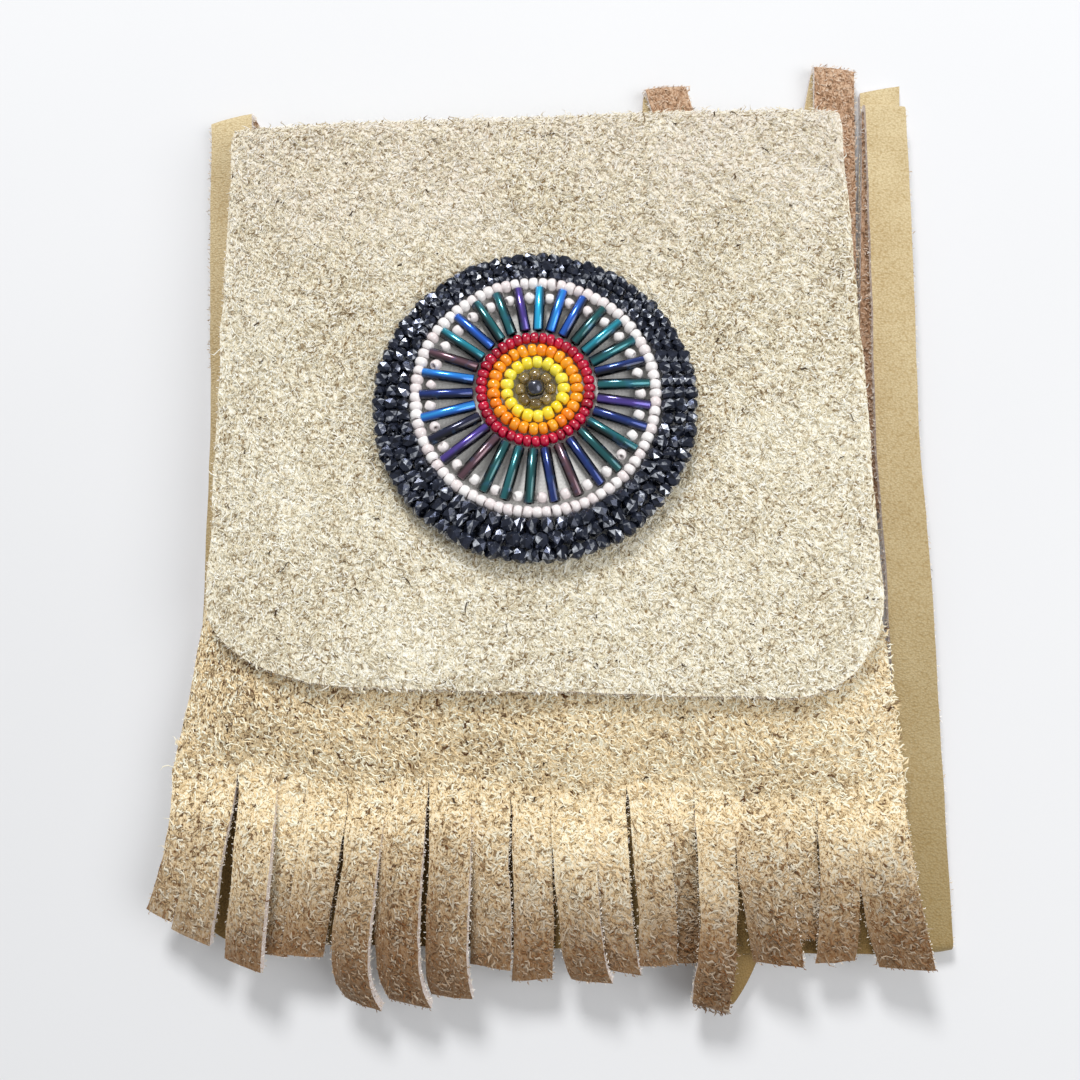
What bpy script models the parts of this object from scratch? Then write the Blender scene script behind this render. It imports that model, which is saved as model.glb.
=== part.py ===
"""A small suede medicine bag lying on its back.

One long piece of suede is the back of the bag, folds over at the top and comes down in front as
the flap. A second piece is the front of the pouch, and its lower end is cut into a fringe. A bead
rosette is sewn to the flap. A flat leather strap lies folded to and fro under the bag. The tops of
four of its folds and its free end show past the bag.

While the pieces are made, X runs across the bag, Y is 0 at the top fold and falls towards the
fringe, and Z is the height above the surface that the strap lies on. A distance called "down" is
measured from the top fold towards the fringe. At the end everything is moved as one, so that the
origin is under the middle of the whole.
"""

import math

import bmesh
import bpy
from mathutils import Vector

MM = 0.001

# What touches keeps this gap.
CLEARANCE = 0.3 * MM

# The hide of the bag, and the pouch.
HIDE_THICKNESS = 1.4 * MM
HALF_WIDTH_AT_FOLD = 53.4 * MM
HALF_WIDTH_AT_FRINGE = 58.0 * MM
FLARE = 4.0
FRINGE_LEAN = 1.6 * MM
POUCH_LENGTH = 115.0 * MM
POCKET_GAP = 5.0 * MM
SEAM_ROLL = 14.0 * MM
MOUTH_DEPTH = 9.0 * MM
TAIL_LENGTH = 26.0 * MM
TAIL_HALF_WIDTH = 56.0 * MM

# The flap.
FLAP_LENGTH = 102.2 * MM
FLAP_HALF_WIDTH_AT_END = 54.1 * MM
FLAP_SIDE_DROP = 2.0 * MM
LEFT_CORNER_WIDTH = 25.0 * MM
LEFT_CORNER_HEIGHT = 14.0 * MM
RIGHT_CORNER_RADIUS = 17.5 * MM
FOLD_SLANT = 1.0 * MM
FLAP_END_SLANT = 2.1 * MM

# The fringe: the width of each strip from left to right, and how far its tip reaches.
SLIT_WIDTH = 0.35 * MM
STRIP_WIDTHS = [4.1, 6.2, 6.1, 4.7, 6.6, 5.8, 6.8, 6.5, 6.2, 6.1, 6.3, 5.8, 5.6, 5.0, 5.7, 7.2, 6.1, 5.9, 8.1]
STRIP_REACHES = [20, 23, 27, 26, 26, 33, 33, 32, 28, 30, 30, 29, 28, 28, 35, 28, 25, 28, 29]
USUAL_TIP_GAP = 0.5 * MM
WIDE_TIP_GAPS = {2: 1.7 * MM, 15: 2.6 * MM, 18: 1.9 * MM}
STRIP_ARCH = 1.2 * MM
STRIP_ARCH_CHANGE = 0.9 * MM
TIP_DROOP = 0.05 / MM

# The strap.
STRAP_WIDTH = 7.4 * MM
STRAP_THICKNESS = 1.4 * MM
FOLD_STEPS = 6

# The rosette.
ROSETTE_DOWN = 54.5 * MM
ROSETTE_SIDE = -1.0 * MM
BACKING_RADIUS = 26.0 * MM
BACKING_THICKNESS = 0.4 * MM
INNER_SHIFT = 1.1 * MM
CENTRE_BEAD = 3.0 * MM
SMOKY_BEAD = 1.5 * MM
SMOKY_COUNT = 8
YELLOW_BEAD = 2.1 * MM
YELLOW_COUNT = 17
AMBER_BEAD = 1.9 * MM
AMBER_COUNT = 27
CRIMSON_BEAD = 1.8 * MM
CRIMSON_COUNT = 40
BUGLE_COUNT = 30
BUGLE_THICKNESS = 1.6 * MM
LONGEST_BUGLE = 8.4 * MM
WHITE_RADIUS = 19.55 * MM
WHITE_BEAD = 1.9 * MM
WHITE_COUNT = 80
SPACER_BEAD = 1.6 * MM
SPACER_INSET = 1.6 * MM
INNER_DARK_COUNT = 63
MIDDLE_DARK_COUNT = 69
OUTER_DARK_COUNT = 75
DARK_ROWS = 3
DARK_PITCH = 2.05 * MM
DARK_PITCH_CHANGE = 0.4 * MM
BEAD_WAIST = 0.68

# Heights that follow from the sizes above.
STRAP_STEP = STRAP_THICKNESS + CLEARANCE
LOWER = STRAP_THICKNESS / 2
UPPER = LOWER + STRAP_STEP
TOP = UPPER + STRAP_STEP
BACK_HEIGHT = UPPER + STRAP_THICKNESS / 2 + CLEARANCE + HIDE_THICKNESS / 2
SEAM_HEIGHT = BACK_HEIGHT + HIDE_THICKNESS + CLEARANCE
FRONT_HEIGHT = BACK_HEIGHT + HIDE_THICKNESS + POCKET_GAP
FLAP_HEIGHT = FRONT_HEIGHT + HIDE_THICKNESS + CLEARANCE
FOLD_RADIUS = (FLAP_HEIGHT - BACK_HEIGHT) / 2
FOLD_DOWN = FOLD_RADIUS + HIDE_THICKNESS / 2
TAIL_END = POUCH_LENGTH + TAIL_LENGTH
BACKING_TOP = FLAP_HEIGHT + HIDE_THICKNESS / 2 + CLEARANCE + BACKING_THICKNESS
BEAD_SEAT = BACKING_TOP + CLEARANCE

# Radii of the bead rings, each worked out from the ring inside it.
SMOKY_RADIUS = CENTRE_BEAD / 2 + CLEARANCE + SMOKY_BEAD / 2
YELLOW_RADIUS = SMOKY_RADIUS + SMOKY_BEAD / 2 + CLEARANCE + YELLOW_BEAD / 2
AMBER_RADIUS = YELLOW_RADIUS + YELLOW_BEAD / 2 + CLEARANCE + AMBER_BEAD / 2
CRIMSON_RADIUS = AMBER_RADIUS + AMBER_BEAD / 2 + CLEARANCE + CRIMSON_BEAD / 2
BUGLE_START = CRIMSON_RADIUS + CRIMSON_BEAD / 2 + CLEARANCE
WHITE_INSIDE = WHITE_RADIUS - WHITE_BEAD / 2
WHITE_OUTSIDE = WHITE_RADIUS + WHITE_BEAD / 2

# Where the strap goes, end to end: millimetres to the right, millimetres down, and the height of
# its middle. "fold" turns it over there, and "on" only lets it bend a little and change height.
STRAP_ROUTE = [
    ("end", 52.0, 42.0, UPPER),
    ("fold", 55.7, -12.3, UPPER, LOWER),
    ("fold", 33.0, 80.0, LOWER, UPPER),
    ("fold", -52.1, 118.0, UPPER, LOWER),
    ("on", -54.4, 55.0, LOWER),
    ("on", -55.8, 16.0, UPPER),
    ("fold", -56.5, -4.0, UPPER, LOWER),
    ("on", -0.4, 101.5, LOWER),
    ("on", 4.4, 110.5, UPPER),
    ("fold", 10.0, 121.0, UPPER, LOWER),
    ("fold", 23.8, -8.9, LOWER, UPPER),
    ("on", 47.5, 87.0, UPPER),
    ("on", 54.7, 116.0, LOWER),
    ("fold", 61.0, 141.6, LOWER, UPPER),
    ("on", 61.0, 114.0, UPPER),
    ("on", 60.6, 85.0, TOP),
    ("on", 60.8, 60.0, TOP),
    ("on", 63.0, 20.0, TOP),
    ("fold", 64.0, -3.3, TOP, UPPER),
    ("fold", 57.5, 70.0, UPPER, LOWER),
    ("end", 64.6, -9.7, LOWER),
]

SUEDE = (0.76, 0.62, 0.42)
STRAP_TAN = (0.62, 0.44, 0.22)


def material(name, colour, roughness, metallic=0.0):
    """A Principled material of one colour."""
    made = bpy.data.materials.new(name)
    made.use_nodes = True
    shader = made.node_tree.nodes["Principled BSDF"]
    shader.inputs["Base Color"].default_value = (*colour, 1.0)
    shader.inputs["Roughness"].default_value = roughness
    shader.inputs["Metallic"].default_value = metallic
    return made


def piece(name, bm, look, bag, smooth=True):
    """One finished sub-part, hung from the empty that carries the bag."""
    bmesh.ops.recalc_face_normals(bm, faces=bm.faces)
    mesh = bpy.data.meshes.new(name)
    bm.to_mesh(mesh)
    bm.free()
    if smooth:
        mesh.shade_smooth()
        mesh.set_sharp_from_angle(angle=math.radians(40))
    mesh.materials.append(look)
    made = bpy.data.objects.new(name, mesh)
    made.parent = bag
    bpy.context.scene.collection.objects.link(made)
    return made


def thicken(made, thickness):
    """Gives a sheet its thickness, half on each side."""
    wall = made.modifiers.new("hide_thickness", "SOLIDIFY")
    wall.thickness = thickness
    wall.offset = 0.0


def half_width(down):
    """Half the pouch's width: it hardly widens at first and flares towards the fringe."""
    gain = HALF_WIDTH_AT_FRINGE - HALF_WIDTH_AT_FOLD
    share = max(down, 0.0) / POUCH_LENGTH
    if share <= 1.0:
        return HALF_WIDTH_AT_FOLD + gain * share**FLARE
    return HALF_WIDTH_AT_FRINGE + gain * FLARE * (share - 1.0)


def back_half_width(down):
    """Half the back's width: it follows the front, and its tail narrows again."""
    past = max(down - POUCH_LENGTH, 0.0) / TAIL_LENGTH
    followed = half_width(min(down, POUCH_LENGTH))
    return followed + (TAIL_HALF_WIDTH - HALF_WIDTH_AT_FRINGE) * past


def lean(down):
    """How far the pouch's middle stands to the right: its lower end leans to the left."""
    share = min(max(down, 0.0) / POUCH_LENGTH, 1.0)
    return -FRINGE_LEAN * share**FLARE


def rise(distance):
    """How far the pouch has opened at a distance from its seam, from 0 to 1."""
    return math.sin(0.5 * math.pi * min(max(distance / SEAM_ROLL, 0.0), 1.0))


def front_height(across, down):
    """Height of the front panel's middle layer, across being measured from the pouch's middle."""
    opened = rise(half_width(down) - abs(across)) * rise(POUCH_LENGTH - down)
    return SEAM_HEIGHT + (FRONT_HEIGHT - SEAM_HEIGHT) * opened


def flap_height(across):
    """Height of the flap's middle layer: it drops a little at its two sides."""
    return FLAP_HEIGHT - FLAP_SIDE_DROP * (1.0 - rise(HALF_WIDTH_AT_FOLD - abs(across)))


def flap_edges(down):
    """Left and right edge of the flap, with its two round lower corners."""
    share = max(down, 0.0) / FLAP_LENGTH
    half = HALF_WIDTH_AT_FOLD + (FLAP_HALF_WIDTH_AT_END - HALF_WIDTH_AT_FOLD) * share
    insets = []
    for width, height in (
        (LEFT_CORNER_WIDTH, LEFT_CORNER_HEIGHT),
        (RIGHT_CORNER_RADIUS, RIGHT_CORNER_RADIUS),
    ):
        into = min(max((down - FLAP_LENGTH + height) / height, 0.0), 1.0)
        insets.append(width * (1.0 - math.sqrt(1.0 - into * into)))
    return -half + insets[0], half - insets[1]


def slanted(across, down, at_fold, at_end):
    """How far down a point of the flap goes when the fold and the flap's end are slanted."""
    share = (down - FOLD_DOWN) / (FLAP_LENGTH - FOLD_DOWN)
    slant = at_fold + (at_end - at_fold) * max(share, 0.0)
    return down + slant * across / HALF_WIDTH_AT_FOLD


def grid(rows):
    """A sheet of quads through rows that all have the same number of points."""
    bm = bmesh.new()
    made = [[bm.verts.new(point) for point in row] for row in rows]
    for a, b in zip(made, made[1:]):
        for i in range(len(a) - 1):
            bm.faces.new((a[i], a[i + 1], b[i + 1], b[i]))
    return bm


def back_and_flap(bag):
    """One folded piece: the plain tail behind the fringe, the back, the top fold and the flap."""
    shares = [-1.0, -0.92, -0.8, -0.6, -0.3, 0.0, 0.3, 0.6, 0.8, 0.92, 1.0]
    rows = []
    tail_steps = 2
    back_steps = 8
    downs = [TAIL_END - TAIL_LENGTH * i / tail_steps for i in range(tail_steps)]
    downs += [
        POUCH_LENGTH + (FOLD_DOWN - POUCH_LENGTH) * i / back_steps for i in range(back_steps + 1)
    ]
    for down in downs:
        row = []
        for u in shares:
            across = back_half_width(down) * u
            slant = -FOLD_SLANT * max(POUCH_LENGTH - down, 0.0) / (POUCH_LENGTH - FOLD_DOWN)
            slanted_down = down + slant * across / HALF_WIDTH_AT_FOLD
            row.append(Vector((across + lean(down), -slanted_down, BACK_HEIGHT)))
        rows.append(row)
    fold_steps = 8
    for i in range(1, fold_steps):
        angle = math.pi * i / fold_steps
        row = []
        for u in shares:
            across = HALF_WIDTH_AT_FOLD * u
            radius = (flap_height(across) - BACK_HEIGHT) / 2
            forward = radius * math.sin(angle)
            height = BACK_HEIGHT + radius * (1.0 - math.cos(angle))
            fold_down = slanted(across, FOLD_DOWN, -FOLD_SLANT, FLAP_END_SLANT)
            row.append(Vector((across, forward - fold_down, height)))
        rows.append(row)
    corner = max(LEFT_CORNER_HEIGHT, RIGHT_CORNER_RADIUS)
    straight_steps = 6
    downs = [
        FOLD_DOWN + (FLAP_LENGTH - corner - FOLD_DOWN) * i / straight_steps
        for i in range(straight_steps + 1)
    ]
    corner_steps = 7
    for i in range(1, corner_steps + 1):
        turned = 0.5 * math.pi * i / corner_steps
        downs.append(FLAP_LENGTH - corner + corner * math.sin(turned))
    for down in downs:
        left, right = flap_edges(down)
        row = []
        for u in shares:
            across = left + (right - left) * (u + 1.0) / 2
            slanted_down = slanted(across, down, -FOLD_SLANT, FLAP_END_SLANT)
            row.append(Vector((across, -slanted_down, flap_height(across))))
        rows.append(row)
    made = piece("back_and_flap", grid(rows), material("flap_suede", SUEDE, 0.95), bag)
    thicken(made, HIDE_THICKNESS)


def strip_edges(at_tip):
    """Left and right edge of every strip, at the cuts' upper ends or at the tips."""
    full = sum(STRIP_WIDTHS) * MM
    scale = 2 * HALF_WIDTH_AT_FRINGE / full
    gaps = []
    for i in range(1, len(STRIP_WIDTHS)):
        tip_gap = WIDE_TIP_GAPS.get(i, USUAL_TIP_GAP)
        gaps.append(tip_gap if at_tip else 0.0)
    cut = SLIT_WIDTH if at_tip else 0.0
    widths = [width * MM * scale - cut for width in STRIP_WIDTHS]
    left = -(sum(widths) + sum(gaps)) / 2
    edges = []
    for i, width in enumerate(widths):
        edges.append((left, left + width))
        left += width + (gaps[i] if i < len(gaps) else 0.0)
    return edges


def strip_height(index, share, down):
    """Height of a strip's middle layer: it arches up, then droops past the back's tail."""
    arch = STRIP_ARCH + STRIP_ARCH_CHANGE * math.sin(2.4 * index)
    past_tail = max(down - TAIL_END, 0.0)
    return SEAM_HEIGHT + arch * math.sin(math.pi * share) - TIP_DROOP * past_tail**2


def front_panel(bag):
    """The pouch's front, with its lower end cut into strips that stay part of it."""
    bm = bmesh.new()
    roots = strip_edges(at_tip=False)
    tips = strip_edges(at_tip=True)
    starts = [edge[0] for edge in roots] + [roots[-1][1]]
    roll_steps = 4
    plain_end = POUCH_LENGTH - SEAM_ROLL
    plain_steps = 5
    downs = [
        MOUTH_DEPTH + (plain_end - MOUTH_DEPTH) * i / plain_steps for i in range(plain_steps + 1)
    ]
    downs += [plain_end + SEAM_ROLL * i / roll_steps for i in range(1, roll_steps + 1)]
    rows = []
    for down in downs:
        widening = half_width(down) / HALF_WIDTH_AT_FRINGE
        row = []
        for start in starts:
            across = start * widening
            height = front_height(across, down)
            row.append(bm.verts.new((across + lean(down), -down, height)))
        rows.append(row)
    for a, b in zip(rows, rows[1:]):
        for i in range(len(a) - 1):
            bm.faces.new((a[i], a[i + 1], b[i + 1], b[i]))
    strip_steps = 6
    for i, reach in enumerate(STRIP_REACHES):
        above = (rows[-1][i], rows[-1][i + 1])
        for step in range(1, strip_steps + 1):
            share = step / strip_steps
            down = POUCH_LENGTH + reach * MM * share
            below = []
            for side in (0, 1):
                across = roots[i][side] + (tips[i][side] - roots[i][side]) * share + lean(down)
                below.append(bm.verts.new((across, -down, strip_height(i, share, down))))
            bm.faces.new((above[0], above[1], below[1], below[0]))
            above = tuple(below)
    made = piece("front_panel", bm, material("front_suede", SUEDE, 0.95), bag)
    thicken(made, HIDE_THICKNESS)


def plan(stop):
    """A route point's place seen from above, in metres."""
    return Vector((stop[1] * MM, -stop[2] * MM, 0.0))


def strap_sections():
    """Middle, width vector and thickness direction of each section along the strap."""
    up = Vector((0.0, 0.0, 1.0))
    turns = [i for i, stop in enumerate(STRAP_ROUTE) if stop[0] != "on"]
    place = plan(STRAP_ROUTE[0])
    facing = 1.0
    sections = []

    def cross_section(middle, ahead, height):
        side = ahead.cross(up * facing)
        sections.append((middle + up * height, side * STRAP_WIDTH, up * facing))

    for start, end in zip(turns, turns[1:]):
        places = [place] + [plan(stop) for stop in STRAP_ROUTE[start + 1 : end + 1]]
        if not sections:
            cross_section(place, (places[1] - place).normalized(), STRAP_ROUTE[0][3])
        for i in range(1, len(places) - 1):
            ahead = (places[i + 1] - places[i - 1]).normalized()
            cross_section(places[i], ahead, STRAP_ROUTE[start + i][3])
        stop = STRAP_ROUTE[end]
        crease_place = places[-1]
        ahead = (crease_place - places[-2]).normalized()
        if stop[0] == "end":
            cross_section(crease_place, ahead, stop[3])
            break
        side = ahead.cross(up * facing)
        after = (plan(STRAP_ROUTE[end + 1]) - crease_place).normalized()
        outward = (ahead - after).normalized()
        crease = (ahead + after).normalized()
        if crease.dot(side) < 0:
            crease = -crease
        oblique = crease * (STRAP_WIDTH / crease.dot(side))
        shift = ahead.dot(crease) / ahead.dot(outward)
        radius = (stop[4] - stop[3]) / 2
        climbs = 1.0 if radius > 0 else -1.0
        for i in range(FOLD_STEPS + 1):
            angle = math.pi * i / FOLD_STEPS
            middle = crease_place + outward * abs(radius) * math.sin(angle)
            middle += crease * abs(radius) * angle * shift
            middle += up * (stop[3] + radius * (1.0 - math.cos(angle)))
            normal = (up * math.cos(angle) - outward * climbs * math.sin(angle)) * facing
            sections.append((middle, oblique, normal))
        place = crease_place + crease * abs(radius) * math.pi * shift
        facing = -facing
    return sections


def strap(bag):
    """A flat strap of one piece, folded over nine times, with its first end under the back."""
    bm = bmesh.new()
    rings = []
    for middle, width, normal in strap_sections():
        half = normal * STRAP_THICKNESS / 2
        corners = (
            middle - width / 2 - half,
            middle + width / 2 - half,
            middle + width / 2 + half,
            middle - width / 2 + half,
        )
        rings.append([bm.verts.new(corner) for corner in corners])
    for a, b in zip(rings, rings[1:]):
        for i in range(4):
            bm.faces.new((a[i], a[(i + 1) % 4], b[(i + 1) % 4], b[i]))
    bm.faces.new(rings[0])
    bm.faces.new(rings[-1])
    piece("strap", bm, material("strap_leather", STRAP_TAN, 0.6), bag)


def dark_pitch(angle):
    """Distance between the dark rows: the rows crowd together on the side of the fold."""
    return DARK_PITCH - DARK_PITCH_CHANGE * math.sin(angle)


def ring_mesh(count, sides, path):
    """A closed string of beads. path gives the place and the bead size at an angle."""
    bm = bmesh.new()
    rings = []
    stations = 2 * count
    for i in range(stations):
        angle = 2 * math.pi * i / stations
        radius, size = path(angle)
        thickness = size / 2 * (1.0 if i % 2 else BEAD_WAIST)
        ring = []
        for j in range(sides):
            turn = 2 * math.pi * (j + 0.5) / sides
            out = radius + thickness * math.cos(turn)
            height = size / 2 + thickness * math.sin(turn)
            ring.append(bm.verts.new((out * math.cos(angle), out * math.sin(angle), height)))
        rings.append(ring)
    for i in range(stations):
        a, b = rings[i], rings[(i + 1) % stations]
        for j in range(sides):
            bm.faces.new((a[j], a[(j + 1) % sides], b[(j + 1) % sides], b[j]))
    return bm


def bead_ring(name, count, radius, size, look, bag, shift, sides=5):
    """A round string of seed beads that lies on the backing."""
    made = piece(name, ring_mesh(count, sides, lambda angle: (radius, size)), look, bag)
    made.location = (ROSETTE_SIDE, shift - ROSETTE_DOWN, BEAD_SEAT)


def dark_row(name, number, count, look, bag):
    """One of the three outer rows, whose beads are smaller where the rows crowd together."""

    def path(angle):
        pitch = dark_pitch(angle)
        radius = WHITE_OUTSIDE + CLEARANCE / 2 + pitch * (number + 0.5)
        return radius, pitch - CLEARANCE

    made = piece(name, ring_mesh(count, 4, path), look, bag)
    made.location = (ROSETTE_SIDE, -ROSETTE_DOWN, BEAD_SEAT)


def room_for_bugle(angle):
    """From the inner rings' middle to the white ring's inside, in one direction."""
    shift_along = INNER_SHIFT * math.sin(angle)
    shift_across = INNER_SHIFT * math.cos(angle)
    return math.sqrt(WHITE_INSIDE**2 - shift_across**2) - shift_along


def bugle_bead(index, look, bag):
    """A six-sided bead lying on the backing and pointing away from the middle."""
    angle = 0.5 * math.pi - 2 * math.pi * index / BUGLE_COUNT
    room = room_for_bugle(angle) - BUGLE_START - CLEARANCE
    length = min(room, LONGEST_BUGLE)
    sides = 6
    bm = bmesh.new()
    bmesh.ops.create_cone(
        bm,
        cap_ends=True,
        segments=sides,
        radius1=BUGLE_THICKNESS / 2,
        radius2=BUGLE_THICKNESS / 2,
        depth=length,
    )
    made = piece(f"bugle_bead_{index + 1:02d}", bm, look, bag, smooth=False)
    middle = BUGLE_START + length / 2
    made.location = (
        ROSETTE_SIDE + middle * math.cos(angle),
        INNER_SHIFT - ROSETTE_DOWN + middle * math.sin(angle),
        BEAD_SEAT + BUGLE_THICKNESS / 2,
    )
    made.rotation_euler = (0.0, 0.5 * math.pi, angle)


def rosette_backing(look, bag):
    """The stiff cloth under the beads, with the small beads between the bugles raised on it."""
    bm = bmesh.new()
    per_bugle = 4
    sectors = per_bugle * BUGLE_COUNT
    half = SPACER_BEAD / 2
    first = 0.5 * math.pi - math.pi / BUGLE_COUNT
    floor = BACKING_THICKNESS

    def ring(radius_at, height_at, shift):
        made = []
        for i in range(sectors):
            angle = first - 2 * math.pi * i / sectors
            radius = radius_at(angle)
            across, up = radius * math.cos(angle), radius * math.sin(angle) + shift
            made.append(bm.verts.new((across, up, height_at(i))))
        return made

    def bead_radius(angle):
        return room_for_bugle(angle) - SPACER_INSET

    def rim_radius(angle):
        return BACKING_RADIUS + DARK_ROWS * (dark_pitch(angle) - DARK_PITCH)

    def flat(i):
        return floor

    def bumps(i):
        return floor + (SPACER_BEAD if i % per_bugle == 0 else 0.0)

    rings = [
        ring(lambda angle: bead_radius(angle) - half, flat, INNER_SHIFT),
        ring(bead_radius, bumps, INNER_SHIFT),
        ring(lambda angle: bead_radius(angle) + half, flat, INNER_SHIFT),
        ring(rim_radius, flat, 0.0),
        ring(rim_radius, lambda i: 0.0, 0.0),
    ]
    for a, b in zip(rings, rings[1:]):
        for i in range(sectors):
            after = (i + 1) % sectors
            bm.faces.new((a[i], a[after], b[after], b[i]))
    bm.faces.new(rings[0])
    bm.faces.new(rings[-1])
    made = piece("rosette_backing", bm, look, bag)
    made.location = (ROSETTE_SIDE, -ROSETTE_DOWN, BACKING_TOP - BACKING_THICKNESS)


def centre_bead(look, bag):
    """The larger round bead in the middle of the rosette."""
    bm = bmesh.new()
    bmesh.ops.create_uvsphere(bm, u_segments=12, v_segments=8, radius=CENTRE_BEAD / 2)
    made = piece("centre_bead", bm, look, bag)
    made.location = (ROSETTE_SIDE, INNER_SHIFT - ROSETTE_DOWN, BEAD_SEAT + CENTRE_BEAD / 2)


def rosette(bag):
    """All of the beadwork, from the middle outwards."""
    rosette_backing(material("backing_cloth", (0.58, 0.57, 0.54), 0.9), bag)
    centre_bead(material("hematite", (0.09, 0.09, 0.11), 0.2, 0.6), bag)
    smoky = material("smoky_glass", (0.30, 0.20, 0.08), 0.1)
    bead_ring("smoky_bead_ring", SMOKY_COUNT, SMOKY_RADIUS, SMOKY_BEAD, smoky, bag, INNER_SHIFT)
    yellow = material("yellow_glass", (1.0, 0.82, 0.03), 0.2)
    bead_ring("yellow_bead_ring", YELLOW_COUNT, YELLOW_RADIUS, YELLOW_BEAD, yellow, bag, INNER_SHIFT)
    amber = material("amber_glass", (1.0, 0.36, 0.0), 0.2)
    bead_ring("amber_bead_ring", AMBER_COUNT, AMBER_RADIUS, AMBER_BEAD, amber, bag, INNER_SHIFT)
    crimson = material("crimson_glass", (0.36, 0.0, 0.02), 0.2)
    bead_ring(
        "crimson_bead_ring", CRIMSON_COUNT, CRIMSON_RADIUS, CRIMSON_BEAD, crimson, bag, INNER_SHIFT
    )
    bugle_look = material("blue_bugle_glass", (0.01, 0.04, 0.10), 0.15, 0.5)
    for i in range(BUGLE_COUNT):
        bugle_bead(i, bugle_look, bag)
    white = material("pearl_glass", (0.80, 0.74, 0.74), 0.25)
    bead_ring("white_bead_ring", WHITE_COUNT, WHITE_RADIUS, WHITE_BEAD, white, bag, 0.0)
    dark = material("gunmetal_glass", (0.04, 0.05, 0.07), 0.25, 0.7)
    dark_row("gunmetal_bead_row_inner", 0, INNER_DARK_COUNT, dark, bag)
    dark_row("gunmetal_bead_row_middle", 1, MIDDLE_DARK_COUNT, dark, bag)
    dark_row("gunmetal_bead_row_outer", 2, OUTER_DARK_COUNT, dark, bag)


def settle(bag):
    """Moves the bag so that the origin lies on the surface, under the middle of everything."""
    bpy.context.view_layer.update()
    graph = bpy.context.evaluated_depsgraph_get()
    corners = []
    for made in bag.children:
        solid = made.evaluated_get(graph)
        corners += [solid.matrix_world @ Vector(corner) for corner in solid.bound_box]
    middle = Vector((0.0, 0.0, 0.0))
    for axis in (0, 1):
        values = [corner[axis] for corner in corners]
        middle[axis] = (min(values) + max(values)) / 2
    middle.z = min(corner.z for corner in corners)
    bag.location = -middle


def main():
    for old in list(bpy.data.objects):
        bpy.data.objects.remove(old, do_unlink=True)
    bag = bpy.data.objects.new("bag", None)
    bpy.context.scene.collection.objects.link(bag)
    back_and_flap(bag)
    front_panel(bag)
    strap(bag)
    rosette(bag)
    settle(bag)


main()
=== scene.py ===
import math
import random

import bmesh
import bpy
from mathutils import Matrix, Vector, noise

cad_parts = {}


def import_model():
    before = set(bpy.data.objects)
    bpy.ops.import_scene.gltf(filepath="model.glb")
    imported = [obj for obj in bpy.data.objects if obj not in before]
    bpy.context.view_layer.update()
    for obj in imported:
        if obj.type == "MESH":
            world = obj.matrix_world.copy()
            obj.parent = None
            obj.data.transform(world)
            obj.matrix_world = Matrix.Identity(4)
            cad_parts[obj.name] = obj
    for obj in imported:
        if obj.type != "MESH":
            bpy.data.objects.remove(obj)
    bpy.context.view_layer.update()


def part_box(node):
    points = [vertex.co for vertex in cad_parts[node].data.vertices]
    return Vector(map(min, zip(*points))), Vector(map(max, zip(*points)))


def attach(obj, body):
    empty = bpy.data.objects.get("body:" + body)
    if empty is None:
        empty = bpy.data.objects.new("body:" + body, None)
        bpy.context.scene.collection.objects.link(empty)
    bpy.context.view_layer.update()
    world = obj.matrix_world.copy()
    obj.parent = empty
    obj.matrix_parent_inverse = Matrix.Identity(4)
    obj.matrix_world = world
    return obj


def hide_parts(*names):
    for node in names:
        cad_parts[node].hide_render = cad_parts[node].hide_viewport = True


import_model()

MM = 0.001
UP = Vector((0.0, 0.0, 1.0))

# Sizes of the bag, as its solids have them. "Down" is from the top fold to the fringe, and
# "across" is from the bag's middle line to the right.
GAP = 0.3 * MM
HIDE = 1.4 * MM
HALF_WIDTH_AT_FOLD = 53.4 * MM
HALF_WIDTH_AT_FRINGE = 58.0 * MM
FLARE = 4.0
FRINGE_LEAN = 1.6 * MM
POUCH_LENGTH = 115.0 * MM
SEAM_ROLL = 14.0 * MM
MOUTH_DEPTH = 9.0 * MM
TAIL_LENGTH = 26.0 * MM
TAIL_HALF_WIDTH = 56.0 * MM
FLAP_LENGTH = 102.2 * MM
FLAP_HALF_WIDTH_AT_END = 54.1 * MM
FLAP_SIDE_DROP = 2.0 * MM
LEFT_CORNER_WIDTH = 25.0 * MM
LEFT_CORNER_HEIGHT = 14.0 * MM
RIGHT_CORNER_RADIUS = 17.5 * MM
FOLD_SLANT = 1.0 * MM
FLAP_END_SLANT = 2.1 * MM
ROSETTE_DOWN = 54.5 * MM
ROSETTE_SIDE = -1.0 * MM
INNER_SHIFT = 1.1 * MM

# Finer forms that only this script gives the bag.
FOLD_DIP = 1.0 * MM
DIP_REACH = 16.0 * MM
TAIL_SLANT = 1.8 * MM
TAIL_CORNER = 47.0 * MM
TAIL_CORNER_CUT = 8.0 * MM
END_LIFT = 0.7 * MM
END_LIFT_RUN = 16.0 * MM
FLAP_WAVE = 0.55 * MM
FLAT_UNDER_BEADS = 27.0 * MM
PEBBLE_HEIGHT = 0.1 * MM
CUT_WANDER = 0.35 * MM
CUT_RAGGEDNESS = 0.12 * MM
BUGLE_TURN = math.radians(-3.5)
BUGLE_RADIUS = 0.93 * MM

# A hide's three materials, by number.
OUTER_SIDE = 0
INNER_SIDE = 1
CUT_SIDE = 2

# Edges that turn further than this look sharp.
SHARP_TURN = math.radians(50)
STRAP_SHARP_TURN = math.radians(48)

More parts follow.
